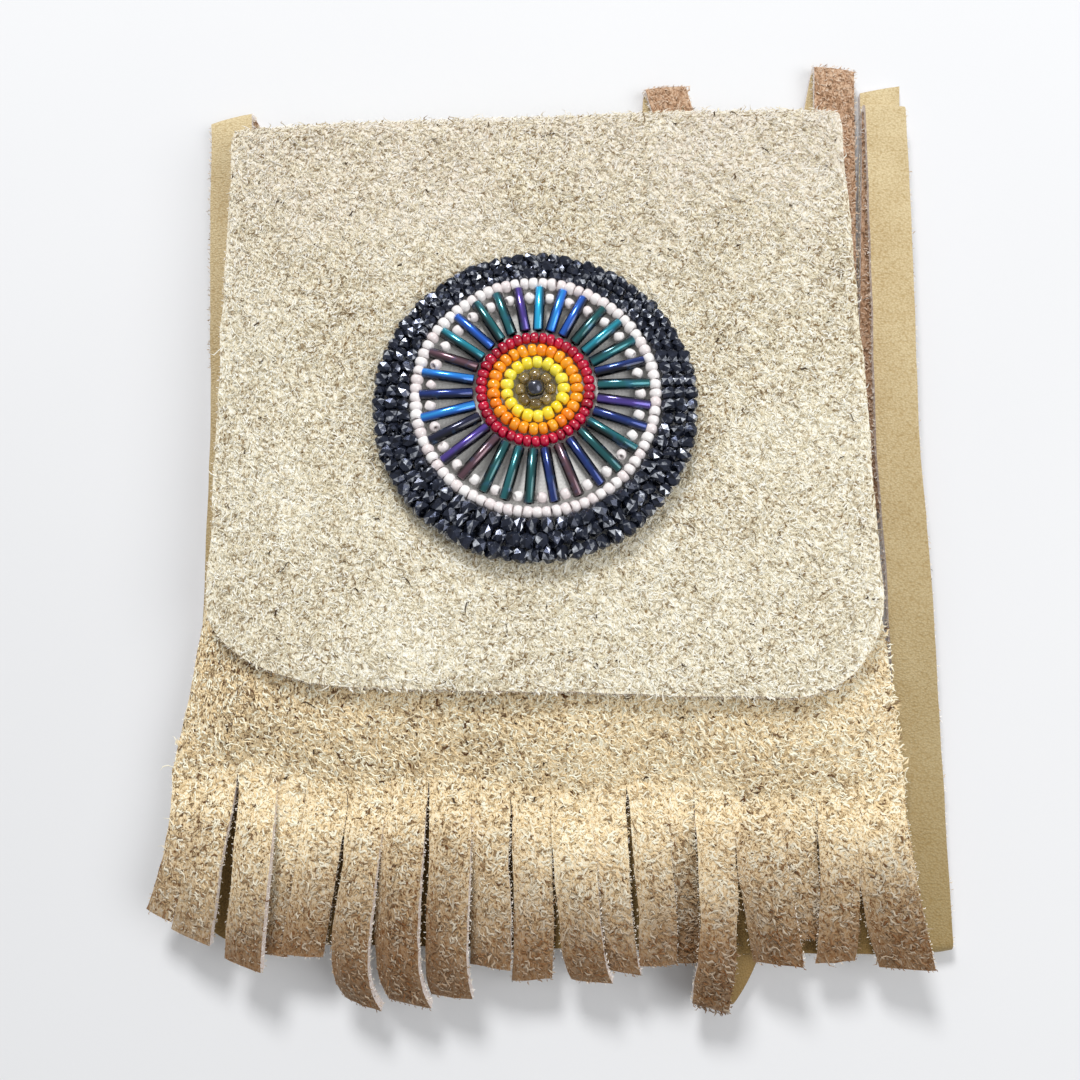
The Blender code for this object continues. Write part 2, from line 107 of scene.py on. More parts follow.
# Each strip of the fringe, from left to right: its width and reach, as its solid has them, how far
# its tip lies to the right, how far its very end hooks to the right, how much further its right
# corner reaches, how far its tip is lifted, and how high it arches, all in mm, and how steeply it
# rises to the right.
STRIPS = [
    (4.1, 20, 1.0, 0.0, 2.0, 0.3, 1.0, 0.1),
    (6.2, 23, 1.0, 0.0, 2.2, 0.6, 1.6, 0.2),
    (6.1, 27, 1.5, 0.3, 1.8, 0.9, 1.9, 0.34),
    (4.7, 26, 0.0, 0.0, 0.5, 0.0, 0.3, 0.0),
    (6.6, 26, -1.1, 0.0, 0.6, 0.5, 1.0, 0.04),
    (5.8, 33, -0.9, 2.8, 2.0, 1.0, 2.2, 0.34),
    (6.8, 33, 0.3, 2.2, 1.2, 0.6, 1.8, 0.36),
    (6.5, 32, 0.5, 1.6, 0.4, 0.7, 1.8, 0.34),
    (6.2, 28, 1.4, 0.0, 0.6, 0.2, 1.2, 0.24),
    (6.1, 30, 1.2, 0.0, -0.3, 0.0, 0.7, 0.06),
    (6.3, 30, 2.1, 2.0, 0.6, 0.7, 1.6, 0.3),
    (5.8, 29, 1.1, 1.4, 1.0, 0.1, 1.1, 0.28),
    (5.6, 28, 1.6, 0.3, -0.3, 0.6, 1.6, 0.24),
    (5.0, 28, 0.4, 0.0, 0.0, 0.0, 0.2, -0.04),
    (5.7, 32.7, -1.3, 0.0, 1.86, 2.6, 3.2, -0.06),
    (7.2, 28, 0.3, 0.0, 0.5, 0.6, 1.6, 0.36),
    (6.1, 25, -1.6, 0.0, 0.0, 0.0, 0.3, 0.0),
    (5.9, 28, -3.0, -1.2, -0.5, 0.6, 1.6, 0.1),
    (8.1, 29, -1.9, 0.0, 0.4, 0.4, 1.6, 0.3),
]

# The cuts between the strips and the gaps at their tips, how the tips droop, how low a strip and
# its nap may lie, where the tips' brown and painted shade start, and the strip that curls under at its end.
SLIT_WIDTH = 0.34 * MM
USUAL_TIP_GAP = 0.5 * MM
WIDE_TIP_GAPS = {2: 1.7 * MM, 15: 2.6 * MM, 18: 1.9 * MM}
TIP_DROOP = 0.05 / MM
LOWEST_TIP = 1.6 * MM
LOWEST_NAP = 1.1 * MM
TIPS_START = 121.0 * MM
CURLED_STRIP = 14
CURL_RADIUS = 1.5 * MM
CURL_RUN = 8.0 * MM

# The strap, with its route as the solid has it: millimetres to the right, millimetres down, and
# the height of its middle. "fold" turns it over there.
STRAP_WIDTH = 7.4 * MM
STRAP_THICKNESS = 1.4 * MM
LOWER = STRAP_THICKNESS / 2
UPPER = LOWER + STRAP_THICKNESS + GAP
TOP = UPPER + STRAP_THICKNESS + GAP
STRAP_ROUTE = [
    ("end", 52.0, 42.0, UPPER),
    ("fold", 55.7, -12.3, UPPER, LOWER),
    ("fold", 33.0, 80.0, LOWER, UPPER),
    ("fold", -52.1, 118.0, UPPER, LOWER),
    ("on", -54.4, 55.0, LOWER),
    ("on", -55.8, 16.0, UPPER),
    ("fold", -56.5, -4.0, UPPER, LOWER),
    ("on", -0.4, 101.5, LOWER),
    ("on", 4.4, 110.5, UPPER),
    ("fold", 10.0, 121.0, UPPER, LOWER),
    ("fold", 23.8, -8.9, LOWER, UPPER),
    ("on", 47.5, 87.0, UPPER),
    ("on", 54.2, 116.0, LOWER),
    ("fold", 59.0, 141.6, LOWER, UPPER),
    ("on", 60.2, 114.0, UPPER),
    ("on", 60.6, 85.0, TOP),
    ("on", 60.8, 60.0, TOP),
    ("on", 63.0, 20.0, TOP),
    ("fold", 64.0, -3.3, TOP, UPPER),
    ("fold", 57.5, 70.0, UPPER, LOWER),
    ("end", 64.6, -9.7, LOWER),
]
STRAP_STEP = 2.5 * MM
STRAP_TURN_RUN = 9.0 * MM
STRAP_END_SLANT = 0.27

# The nap: the share of its fibres that are dark specks, a fibre's width as a share of its length,
# and the sideways bends and the lift of each short fibre and of each long curly thread.
SPECK_SHARE = 0.0035
FIBRE_WIDTH = 0.27
FIBRES = [([0.12], 1.0), ([-0.16], 1.3), ([0.1, -0.14], 0.9), ([-0.16, 0.05], 1.5)]
THREADS = [([0.6, 0.5], 1.5), ([-0.5, -0.7], 1.7), ([0.4, -0.4, -0.5], 1.3), ([-0.7, -0.3, 0.4], 1.5)]

# Where the nap and its colours change: how far the beads cover the flap, where the flap's nap is
# parted in two, where the front panel comes out from under the flap, how far the strap shows, how
# far the flap's greyer colour reaches from the fold, and how ragged the limit of the tips' brown and painted
# shade is.
BEADS_COVER = 25.0 * MM
FLAP_PARTING = 50.0 * MM
FRONT_SHOWN = 84.0 * MM
STRAP_SHOWN = 3.0 * MM
STRAP_TOPS_SHOWN = 4.0 * MM
MAUVE_REACH = 45.0 * MM
TIP_RAGGEDNESS = 20.0 * MM

# Places that come from the frame.
back_low, back_high = (Vector(corner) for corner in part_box("back_and_flap"))
bead_low, bead_high = (Vector(corner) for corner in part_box("centre_bead"))
bead_middle = (bead_low + bead_high) / 2
CENTRE_X = bead_middle.x - ROSETTE_SIDE
FOLD_Y = bead_middle.y + ROSETTE_DOWN - INNER_SHIFT
BACK_HEIGHT = back_low.z + HIDE / 2
FLAP_HEIGHT = back_high.z - HIDE / 2
SEAM_HEIGHT = BACK_HEIGHT + HIDE + GAP
FRONT_HEIGHT = FLAP_HEIGHT - HIDE - GAP
FOLD_DOWN = (FLAP_HEIGHT - BACK_HEIGHT) / 2 + HIDE / 2
TAIL_END = POUCH_LENGTH + TAIL_LENGTH
BEAD_SEAT = bead_low.z
ROSETTE_CENTRE = Vector((bead_middle.x, bead_middle.y - INNER_SHIFT, BEAD_SEAT))

# The camera: its place over the bag, its turns, and its lens on a sensor of full width.
SENSOR_WIDTH = 36.0
CAMERA_ACROSS = -0.39 * MM
CAMERA_DOWN = 112.0 * MM
CAMERA_HEIGHT = 175.5 * MM
CAMERA_TILT = math.radians(11.79)
CAMERA_ROLL = math.radians(0.27)
CAMERA_YAW = math.radians(-0.90)
CAMERA_LENS = SENSOR_WIDTH * 1040.0 / 1080.0

# The light and the floor.
WORLD_STRENGTH = 0.39
FLOOR_REACH = 1.2
FLOOR_DROP = 0.05 * MM


def paint(red, green, blue):
    """A colour given as it looks on a screen, from 0 to 255, as light."""
    made = []
    for value in (red, green, blue):
        share = value / 255.0
        made.append(share / 12.92 if share <= 0.04045 else ((share + 0.055) / 1.055) ** 2.4)
    return (*made, 1.0)


class Wire:
    """A node's output that arithmetic can be written on."""

    def __init__(self, bench, socket):
        self.bench = bench
        self.socket = socket

    def __add__(self, other):
        return self.bench.maths("ADD", self, other)

    def __radd__(self, other):
        return self.bench.maths("ADD", other, self)

    def __sub__(self, other):
        return self.bench.maths("SUBTRACT", self, other)

    def __rsub__(self, other):
        return self.bench.maths("SUBTRACT", other, self)

    def __mul__(self, other):
        return self.bench.maths("MULTIPLY", self, other)

    def __rmul__(self, other):
        return self.bench.maths("MULTIPLY", other, self)

    def __pow__(self, other):
        return self.bench.maths("POWER", self, other)


class Bench:
    """Adds nodes to one node tree."""

    def __init__(self, tree):
        self.tree = tree

    def make(self, kind, settings=None, values=None, give=0):
        """One node: its settings first, then the values or links of its sockets."""
        node = self.tree.nodes.new(kind)
        for key, value in (settings or {}).items():
            if key == "stops":
                ends = node.color_ramp.elements
                ends[0].position, ends[0].color = value[0]
                ends[1].position, ends[1].color = value[-1]
                for position, colour in value[1:-1]:
                    ends.new(position).color = colour
            else:
                setattr(node, key, value)
        for key, value in (values or {}).items():
            if isinstance(value, Wire):
                self.tree.links.new(value.socket, node.inputs[key])
            else:
                node.inputs[key].default_value = value
        return Wire(self, node.outputs[give])

    def maths(self, operation, *values):
        return self.make("ShaderNodeMath", {"operation": operation}, dict(enumerate(values)))

    def cloud(self, place, scale, detail=3.0, roughness=0.55, distortion=0.0):
        """Soft noise from 0 to 1; scale is in cycles per metre."""
        values = {"Vector": place, "Scale": scale, "Detail": detail, "Roughness": roughness}
        return self.make("ShaderNodeTexNoise", None, {**values, "Distortion": distortion})

    def ramp(self, value, *stops):
        return self.make("ShaderNodeValToRGB", {"stops": list(stops)}, {"Fac": value})

    def fit(self, value, low, high, first=0.0, last=1.0):
        """Carries values from one range to another and holds them there."""
        values = {"Value": value, "From Min": low, "From Max": high, "To Min": first, "To Max": last}
        return self.make("ShaderNodeMapRange", {"clamp": True}, values)

    def blend(self, share, first, last):
        """A colour between two."""
        settings = {"data_type": "RGBA"}
        return self.make("ShaderNodeMix", settings, {0: share, 6: first, 7: last}, give=2)

    def bump(self, height, distance, strength=1.0):
        values = {"Height": height, "Distance": distance, "Strength": strength}
        return self.make("ShaderNodeBump", None, values)

    def place(self):
        return self.make("ShaderNodeTexCoord", None, None, give=3)

    def along(self, place):
        """How far a place lies towards the fold."""
        return self.make("ShaderNodeSeparateXYZ", None, {"Vector": place}, give=1)

    def attribute(self, name, give=2):
        return self.make("ShaderNodeAttribute", {"attribute_name": name}, None, give)


def finish(name, build, **constants):
    """A material: constants go on the shader's own sockets, and build gives what varies."""
    made = bpy.data.materials.new(name)
    made.use_nodes = True
    shader = made.node_tree.nodes["Principled BSDF"]
    for key, value in constants.items():
        shader.inputs[key.replace("_", " ")].default_value = value
    for key, wire in build(Bench(made.node_tree)).items():
        made.node_tree.links.new(wire.socket, shader.inputs[key])
    return made


# Materials


def near_fold(bench, along):
    """1 at the top fold, falling to 0 down the flap."""
    return bench.fit(along, FOLD_Y - MAUVE_REACH, FOLD_Y)


def near_tip(bench, along, blotches):
    """1 at the fringe's tips and 0 above them, with a ragged limit."""
    moved = along + (blotches - 0.5) * TIP_RAGGEDNESS
    return bench.fit(moved, FOLD_Y - TAIL_END, FOLD_Y - TIPS_START, 1.0, 0.0)


def suede(name, dark, middle, light, tip=None, mauve=None):
    """The flesh side of the hide under its nap: streaky, with painted shade darkening its hollows."""

    def build(bench):
        at = bench.place()
        turned = bench.make(
            "ShaderNodeMapping", None, {"Vector": at, "Scale": (1.0, 0.35, 1.0), "Rotation": (0, 0, 0.7)}
        )
        streaks = bench.cloud(turned, 2400.0, 4.0, 0.65, 1.4)
        pits = bench.cloud(at, 1500.0, 4.0, 0.7, 0.6)
        blotches = bench.cloud(at, 55.0, 3.0)
        # The colour follows the bump's height: the low places take the dark colour as painted shade in the
        # hollows and between the nap's fibres.
        share = bench.fit(streaks * 0.5 + pits * 0.5 + (blotches - 0.5) * 0.15, 0.4, 0.6)
        colour = bench.ramp(share, (0.0, dark), (0.5, middle), (1.0, light))
        if mauve:
            greyer = near_fold(bench, bench.along(at)) * bench.fit(blotches, 0.35, 0.65) * 0.5
            colour = bench.blend(greyer, colour, mauve)
        # The tips turn browner: partly their own darker tone, partly painted shade where the strips bend
        # down away from the light.
        if tip:
            colour = bench.blend(near_tip(bench, bench.along(at), blotches) * 0.85, colour, tip)
        height = streaks * 0.6 + pits * 0.4
        return {"Base Color": colour, "Normal": bench.bump(height, 0.3 * MM, 0.8)}

    return finish(name, build, Roughness=0.95, Specular_IOR_Level=0.15, Sheen_Weight=0.15)


def nap(name, dark, middle, light, tip=None, mauve=None):
    """The loose fibres of the flesh side, each with a shade of its own."""

    def build(bench):
        at = bench.place()
        shade = bench.attribute("tint")
        blotches = bench.cloud(at, 60.0, 3.0)
        share = bench.fit(shade + (blotches - 0.5) * 0.25, 0.0, 1.0)
        colour = bench.ramp(share, (0.0, dark), (0.22, middle), (0.75, light))
        speck = bench.fit(shade, SPECK_SHARE, 1.5 * SPECK_SHARE, 1.0, 0.0)
        colour = bench.blend(speck, colour, SPECK)
        if mauve:
            greyer = near_fold(bench, bench.along(at)) * bench.fit(shade, 0.2, 0.9) * 0.35
            colour = bench.blend(greyer, colour, mauve)
        # The tips turn browner: partly their own darker tone, partly painted shade where the strips bend
        # down away from the light.
        if tip:
            tip_brown_and_shade = near_tip(bench, bench.along(at), blotches) * bench.fit(shade, 0.2, 1.0, 0.95, 0.68)
            colour = bench.blend(tip_brown_and_shade, colour, tip)
        return {"Base Color": colour}

    return finish(name, build, Roughness=0.85, Specular_IOR_Level=0.2, Sheen_Weight=0.1)


def grain(name, low, high, low_shade_colour):
    """The smooth side of the hide: fine pebbles and faint creases across, and painted shade that darkens it
    towards the fringe's end of the bag.
    """

    def build(bench):
        at = bench.place()
        stretched = bench.make("ShaderNodeMapping", None, {"Vector": at, "Scale": (0.8, 1.0, 1.0)})
        values = {"Vector": stretched, "Scale": 3200.0}
        pebbles = bench.make("ShaderNodeTexVoronoi", {"feature": "F1"}, values)
        patches = bench.cloud(at, 90.0, 4.0, 0.6)
        fine = bench.cloud(stretched, 2600.0, 3.0)
        share = bench.fit(patches * 0.5 + fine * 0.35 - pebbles * 0.45, -0.05, 0.45)
        colour = bench.ramp(share, (0.0, low), (1.0, high))
        # Painted shade: the colour darkens towards the tail's end and the strap's low end.
        low_end_shade = bench.fit(bench.along(at), FOLD_Y - TAIL_END, FOLD_Y - 30 * MM, 0.7, 0.0)
        colour = bench.blend(low_end_shade, colour, low_shade_colour)
        height = (1.0 - pebbles) * 0.7 + fine * 0.5
        rough = bench.fit(patches, 0.3, 0.7, 0.5, 0.68)
        return {"Base Color": colour, "Roughness": rough, "Normal": bench.bump(height, 0.16 * MM, 1.0)}

    return finish(name, build, Specular_IOR_Level=0.35)


def cut_edge(name, dark, light):
    """The pale cut through the hide, with its fibres showing."""

    def build(bench):
        at = bench.place()
        fibres = bench.cloud(at, 1600.0, 4.0, 0.7, 0.8)
        colour = bench.ramp(bench.fit(fibres, 0.35, 0.65), (0.0, dark), (1.0, light))
        return {"Base Color": colour, "Normal": bench.bump(fibres, 0.25 * MM, 0.8)}

    return finish(name, build, Roughness=0.95, Specular_IOR_Level=0.15, Sheen_Weight=0.2)


def glass_bead(name, dark, light, **constants):
    """Glossy glass, each bead with a shade of its own and faint flow marks."""

    def build(bench):
        at = bench.place()
        shade = bench.attribute("tint")
        flow = bench.cloud(at, 900.0, 2.0)
        share = bench.fit(shade * 0.8 + (flow - 0.5) * 0.5, 0.0, 0.8)
        colour = bench.ramp(share, (0.0, dark), (1.0, light))
        return {"Base Color": colour, "Normal": bench.bump(flow, 0.04 * MM, 0.4)}

    settings = {"Roughness": 0.2, "Coat_Weight": 0.7, "Coat_Roughness": 0.09}
    settings.update(constants)
    return finish(name, build, **settings)


def metal_bead(name, dark, middle, light, **constants):
    """Cut glass with a metal coat: each facet has its own painted tone, and the few bright ones are painted
    glints.
    """

    def build(bench):
        at = bench.place()
        # Mixed with the bead's own number, so that the same facet differs from bead to bead.
        facet = bench.maths("FRACT", bench.attribute("facet") + bench.attribute("tint") * 8.0)
        wear = bench.cloud(at, 1500.0, 3.0, 0.6)
        share = bench.fit(facet * 0.75 + wear * 0.5, 0.15, 1.05)
        # The light end of the ramp paints glints on a few facets.
        colour = bench.ramp(share, (0.0, dark), (0.5, middle), (0.76, middle), (1.0, light))
        rough = bench.fit(wear, 0.35, 0.7, 0.14, 0.32)
        return {"Base Color": colour, "Roughness": rough, "Normal": bench.bump(wear, 0.05 * MM, 0.5)}

    return finish(name, build, **constants)


def bugle_glass():
    """Dark iridescent glass: each bead has its own colour with a painted highlight along it, and lighter
    blue patches painted as its sheen.
    """

    def build(bench):
        at = bench.place()
        painted = bench.attribute("bead_colour", give=0)
        streak = bench.cloud(at, 500.0, 2.0)
        # Lighter blue patches, painted as the glass's iridescent sheen.
        colour = bench.blend(bench.fit(streak, 0.55, 0.8) * 0.35, painted, paint(70, 130, 190))
        return {"Base Color": colour, "Normal": bench.bump(streak, 0.03 * MM, 0.3)}

    return finish("bugle_glass", build, Metallic=0.5, Roughness=0.2, Coat_Weight=0.6, Coat_Roughness=0.04)


def stiff_cloth():
    """The pale cloth behind the beads: a fine plain weave, a little dull."""

    def build(bench):
        at = bench.place()
        values = {"Vector": at, "Scale": 480.0, "Distortion": 0.6}
        across = bench.make("ShaderNodeTexWave", {"bands_direction": "X"}, values)
        along = bench.make("ShaderNodeTexWave", {"bands_direction": "Y"}, values)
        stains = bench.cloud(at, 260.0, 3.0)
        share = bench.fit(across * 0.12 + along * 0.12 + stains * 0.7, 0.2, 0.75)
        colour = bench.ramp(share, (0.0, paint(232, 231, 228)), (1.0, paint(254, 253, 250)))
        return {"Base Color": colour, "Normal": bench.bump(across * along, 0.08 * MM, 0.7)}

    return finish("backing_cloth", build, Roughness=0.9, Specular_IOR_Level=0.2)


# Meshes


def world(across, down, height):
    """A point of the bag: across from its middle line, down from its top fold."""
    return Vector((across + CENTRE_X, FOLD_Y - down, height))


def ease(share):
    """A smooth step from 0 to 1."""
    share = min(max(share, 0.0), 1.0)
    return share * share * (3.0 - 2.0 * share)


def ripple(point, scale, seed):
    """Smooth noise from about -1 to 1; scale is the length of one wave."""
    return noise.noise(point / scale + Vector((seed, seed * 0.7, 0.0)))


def half_width(down):
    """Half of the pouch's width, which flares towards the fringe."""
    gain = HALF_WIDTH_AT_FRINGE - HALF_WIDTH_AT_FOLD
    share = max(down, 0.0) / POUCH_LENGTH
    if share <= 1.0:
        return HALF_WIDTH_AT_FOLD + gain * share**FLARE
    return HALF_WIDTH_AT_FRINGE + gain * FLARE * (share - 1.0)


def back_half_width(down):
    """Half of the back's width, which narrows again along the tail."""
    past = max(down - POUCH_LENGTH, 0.0) / TAIL_LENGTH
    followed = half_width(min(down, POUCH_LENGTH))
    return followed + (TAIL_HALF_WIDTH - HALF_WIDTH_AT_FRINGE) * past


def lean(down):
    """How far the bag leans to the left, most of it near the fringe."""
    share = min(max(down, 0.0) / POUCH_LENGTH, 1.0)
    return -FRINGE_LEAN * share**FLARE


def rise(distance):
    """How far the front has risen from its side seam, from 0 to 1."""
    return math.sin(0.5 * math.pi * min(max(distance / SEAM_ROLL, 0.0), 1.0))


def flap_height(across, down):
    """Height of the flap's middle layer, lower at its sides and fold."""
    dip = FOLD_DIP * (1.0 - ease((down - FOLD_DOWN) / DIP_REACH))
    drop = FLAP_SIDE_DROP * (0.35 + 0.65 * ease((down - FOLD_DOWN) / DIP_REACH))
    return FLAP_HEIGHT - drop * (1.0 - rise(HALF_WIDTH_AT_FOLD - abs(across))) - dip


def flap_edges(down):
    """Left and right edge of the flap, drawn in at its two round corners."""
    share = max(down, 0.0) / FLAP_LENGTH
    half = HALF_WIDTH_AT_FOLD + (FLAP_HALF_WIDTH_AT_END - HALF_WIDTH_AT_FOLD) * share
    insets = []
    for width, height in (
        (LEFT_CORNER_WIDTH, LEFT_CORNER_HEIGHT),
        (RIGHT_CORNER_RADIUS, RIGHT_CORNER_RADIUS),
    ):
        into = min(max((down - FLAP_LENGTH + height) / height, 0.0), 1.0)
        insets.append(width * (1.0 - math.sqrt(1.0 - into * into)))
    return -half + insets[0], half - insets[1]


def slanted(across, down):
    """Gives a line across the bag the slant of the fold or of the flap's end."""
    share = max((down - FOLD_DOWN) / (FLAP_LENGTH - FOLD_DOWN), 0.0)
    slant = -FOLD_SLANT + (FLAP_END_SLANT + FOLD_SLANT) * share
    return down + slant * across / HALF_WIDTH_AT_FOLD


def ragged(along, seed):
    """How far a cut edge wanders from its line."""
    slow = noise.noise(Vector((along / (9 * MM), seed, 0.0)))
    quick = noise.noise(Vector((along / (2.2 * MM), seed + 5.0, 0.0)))
    return slow * CUT_WANDER + quick * CUT_RAGGEDNESS


def bridge(bm, first, second):
    """A row of faces between two rows of corners."""
    for k in range(len(first) - 1):
        bm.faces.new((first[k], second[k], second[k + 1], first[k + 1]))


def bridge_rings(bm, first, second):
    """A closed band of faces between two rings of corners."""
    made = []
    for k in range(len(first)):
        after = (k + 1) % len(first)
        made.append(bm.faces.new((first[k], first[after], second[after], second[k])))
    return made


def grid(rows):
    """A sheet from rows of points."""
    bm = bmesh.new()
    made = [[bm.verts.new(point) for point in row] for row in rows]
    for first, second in zip(made, made[1:]):
        bridge(bm, first, second)
    return bm


def mesh_from(name, bm, looks=()):
    """Ends a mesh that was being built and gives it its materials."""
    mesh = bpy.data.meshes.new(name)
    bm.to_mesh(mesh)
    bm.free()
    for look in looks:
        mesh.materials.append(look)
    return mesh


def in_scene(name, data):
    """A new object in the scene, unmoved."""
    made = bpy.data.objects.new(name, data)
    bpy.context.scene.collection.objects.link(made)
    return made


def baked(made):
    """Gives an object the plain mesh that its modifiers make, and removes them."""
    graph = bpy.context.evaluated_depsgraph_get()
    mesh = bpy.data.meshes.new_from_object(made.evaluated_get(graph), depsgraph=graph)
    made.modifiers.clear()
    made.data = mesh
    return made


def hide_piece(name, bm, looks):
    """A sheet given its thickness: outer side, inner side and cut edge have their own material."""
    made = in_scene(name, mesh_from(name, bm, looks))
    wall = made.modifiers.new("hide_thickness", "SOLIDIFY")
    wall.thickness = HIDE
    wall.offset = 0.0
    wall.material_offset = INNER_SIDE
    wall.material_offset_rim = CUT_SIDE
    baked(made)
    made.data.shade_smooth()
    made.data.set_sharp_from_angle(angle=SHARP_TURN)
    return made


def roughen(made, amount, scale, seed):
    """Raises and lowers the outer side a little, so that it isn't a perfect sheet."""
    faces = [face for face in made.data.polygons if face.material_index == OUTER_SIDE]
    outer = {v for face in faces for v in face.vertices}
    normals = [vertex.normal.copy() for vertex in made.data.vertices]
    for i in outer:
        vertex = made.data.vertices[i]
        lift = ripple(vertex.co, scale, seed) + 0.6 * ripple(vertex.co, scale * 0.45, seed + 3)
        vertex.co += normals[i] * max(lift, -0.4) * amount


def flap_waves(across, down):
    """How far the flap is raised by its soft waves; it stays flat under the rosette."""
    point = Vector((across, down, 0.0))
    from_rosette = math.hypot(across - ROSETTE_SIDE, down - ROSETTE_DOWN)
    free = ease((from_rosette - FLAT_UNDER_BEADS) / (16 * MM))
    wave = 0.5 + 0.8 * ripple(point, 34 * MM, 4.0) + 0.3 * ripple(point, 13 * MM, 9.0)
    return max(wave, 0.0) * FLAP_WAVE * free


def back_and_flap_piece(looks):
    """Tail, back, top fold and flap, finer than the solid and with a ragged cut edge."""
    columns = 84
    rows = []
    back_steps = 64
    for i in range(back_steps + 1):
        down = TAIL_END + (FOLD_DOWN - TAIL_END) * i / back_steps
        row = []
        for j in range(columns + 1):
            u = 2.0 * j / columns - 1.0
            half = back_half_width(down) + ragged(down, 11.0 if u < 0 else 17.0)
            across = half * u
            slant = -FOLD_SLANT * max(POUCH_LENGTH - down, 0.0) / (POUCH_LENGTH - FOLD_DOWN)
            at = down + slant * across / HALF_WIDTH_AT_FOLD
            past = max(down - POUCH_LENGTH, 0.0) / TAIL_LENGTH
            corner = max(-TAIL_CORNER - across, 0.0) / (TAIL_HALF_WIDTH - TAIL_CORNER)
            at += past * (TAIL_SLANT * across / TAIL_HALF_WIDTH - TAIL_CORNER_CUT * corner**2)
            if i == 0:
                at += ragged(across, 23.0)
            row.append(world(across + lean(down), at, BACK_HEIGHT))
        rows.append(row)
    fold_steps = 14
    for i in range(1, fold_steps):
        angle = math.pi * i / fold_steps
        row = []
        for j in range(columns + 1):
            across = HALF_WIDTH_AT_FOLD * (2.0 * j / columns - 1.0)
            lifted = flap_waves(across, FOLD_DOWN) * i / fold_steps
            radius = (flap_height(across, FOLD_DOWN) + lifted - BACK_HEIGHT) / 2
            forward = radius * math.sin(angle)
            height = BACK_HEIGHT + radius * (1.0 - math.cos(angle))
            row.append(world(across, slanted(across, FOLD_DOWN) - forward, height))
        rows.append(row)
    corner = max(LEFT_CORNER_HEIGHT, RIGHT_CORNER_RADIUS)
    straight_steps = 66
    straight = FLAP_LENGTH - corner - FOLD_DOWN
    downs = [FOLD_DOWN + straight * i / straight_steps for i in range(straight_steps + 1)]
    corner_steps = 22
    for i in range(1, corner_steps + 1):
        turned = 0.5 * math.pi * i / corner_steps
        downs.append(FLAP_LENGTH - corner + corner * math.sin(turned))
    for down in downs:
        left, right = flap_edges(down)
        left += ragged(down, 31.0)
        right += ragged(down, 37.0)
        row = []
        for j in range(columns + 1):
            across = left + (right - left) * j / columns
            at = slanted(across, down)
            at += ragged(across, 41.0) * ease((down - FLAP_LENGTH + 8 * MM) / (8 * MM))
            height = flap_height(across, down) + flap_waves(across, down)
            height += END_LIFT * ease((down - FLAP_LENGTH + END_LIFT_RUN) / END_LIFT_RUN)
            row.append(world(across, at, height))
        rows.append(row)
    made = hide_piece("back_and_flap_hide", grid(rows), looks)
    roughen(made, PEBBLE_HEIGHT, 2.6 * MM, 2.0)
    return made


def strip_edges(at_tip):
    """Left and right edge of each strip, at the cuts' start or at the tips."""
    full = sum(strip[0] for strip in STRIPS) * MM
    scale = 2 * HALF_WIDTH_AT_FRINGE / full
    cut = SLIT_WIDTH if at_tip else 0.0
    gaps = [WIDE_TIP_GAPS.get(i, USUAL_TIP_GAP) if at_tip else 0.0 for i in range(1, len(STRIPS))]
    widths = [strip[0] * MM * scale - cut for strip in STRIPS]
    left = -(sum(widths) + sum(gaps)) / 2
    edges = []
    for width, gap in zip(widths, gaps + [0.0]):
        edges.append((left, left + width))
        left += width + gap
    return edges


def cut_start(across, strip):
    """Where a slit begins: the cuts start lower on the right, and none at the same height."""
    own = 1.3 * MM * math.sin(5.1 * strip + 0.7)
    return POUCH_LENGTH + 0.6 * MM + 0.05 * across + own


def strip_path(index, share, side):
    """Middle of the sheet on one strip: share runs down it, side from -1 left to 1 right."""
    reach, shift, hook, slant, lift, arch = (value * MM for value in STRIPS[index][1:7])
    twist = STRIPS[index][7] * ease(share * 1.6)
    root, tip = ROOTS[index], TIPS[index]
    spread = share**2.2
    opened = SLIT_WIDTH / 2 * (0.4 * ease(share * 7) + 0.6 * ease(share * 1.5) - spread)
    left = root[0] + (tip[0] - root[0]) * spread + opened
    right = root[1] + (tip[1] - root[1]) * spread - opened
    start = cut_start((root[0] + root[1]) / 2, index)
    at_end = share**4
    down = start + (POUCH_LENGTH + reach - start) * share + slant / 2 * side * at_end
    wander = ragged(share * reach, index * 3.0 + side) * ease(share * 5)
    across = (left + right) / 2 + (right - left) / 2 * side + wander
    bow = 0.4 * MM * math.sin(3.7 * index + 1.0) * math.sin(math.pi * share)
    across += shift * (0.6 * ease(share) + 0.4 * share) + hook * share**9 + bow - FRINGE_LEAN
    past_tail = max(down - TAIL_END, 0.0)
    height = SEAM_HEIGHT + arch * math.sin(math.pi * share**1.3) + lift * ease(share)
    height -= TIP_DROOP * past_tail**2
    low_side = -1.0 if twist > 0 else 1.0
    cup = 0.35 * MM * (1.0 - side * side) * ease(share * 3)
    height += twist * (right - left) / 2 * (side - low_side) + cup
    return across, down, max(height, LOWEST_TIP)


ROOTS = strip_edges(at_tip=False)
TIPS = strip_edges(at_tip=True)


def front_height(across, down):
    """Height of the front panel's middle layer, low along its seams."""
    opened = rise(half_width(down) - abs(across)) * rise(POUCH_LENGTH - down)
    dip = FOLD_DIP * (1.0 - ease((down - FOLD_DOWN) / DIP_REACH))
    return SEAM_HEIGHT + (FRONT_HEIGHT - SEAM_HEIGHT - dip) * opened


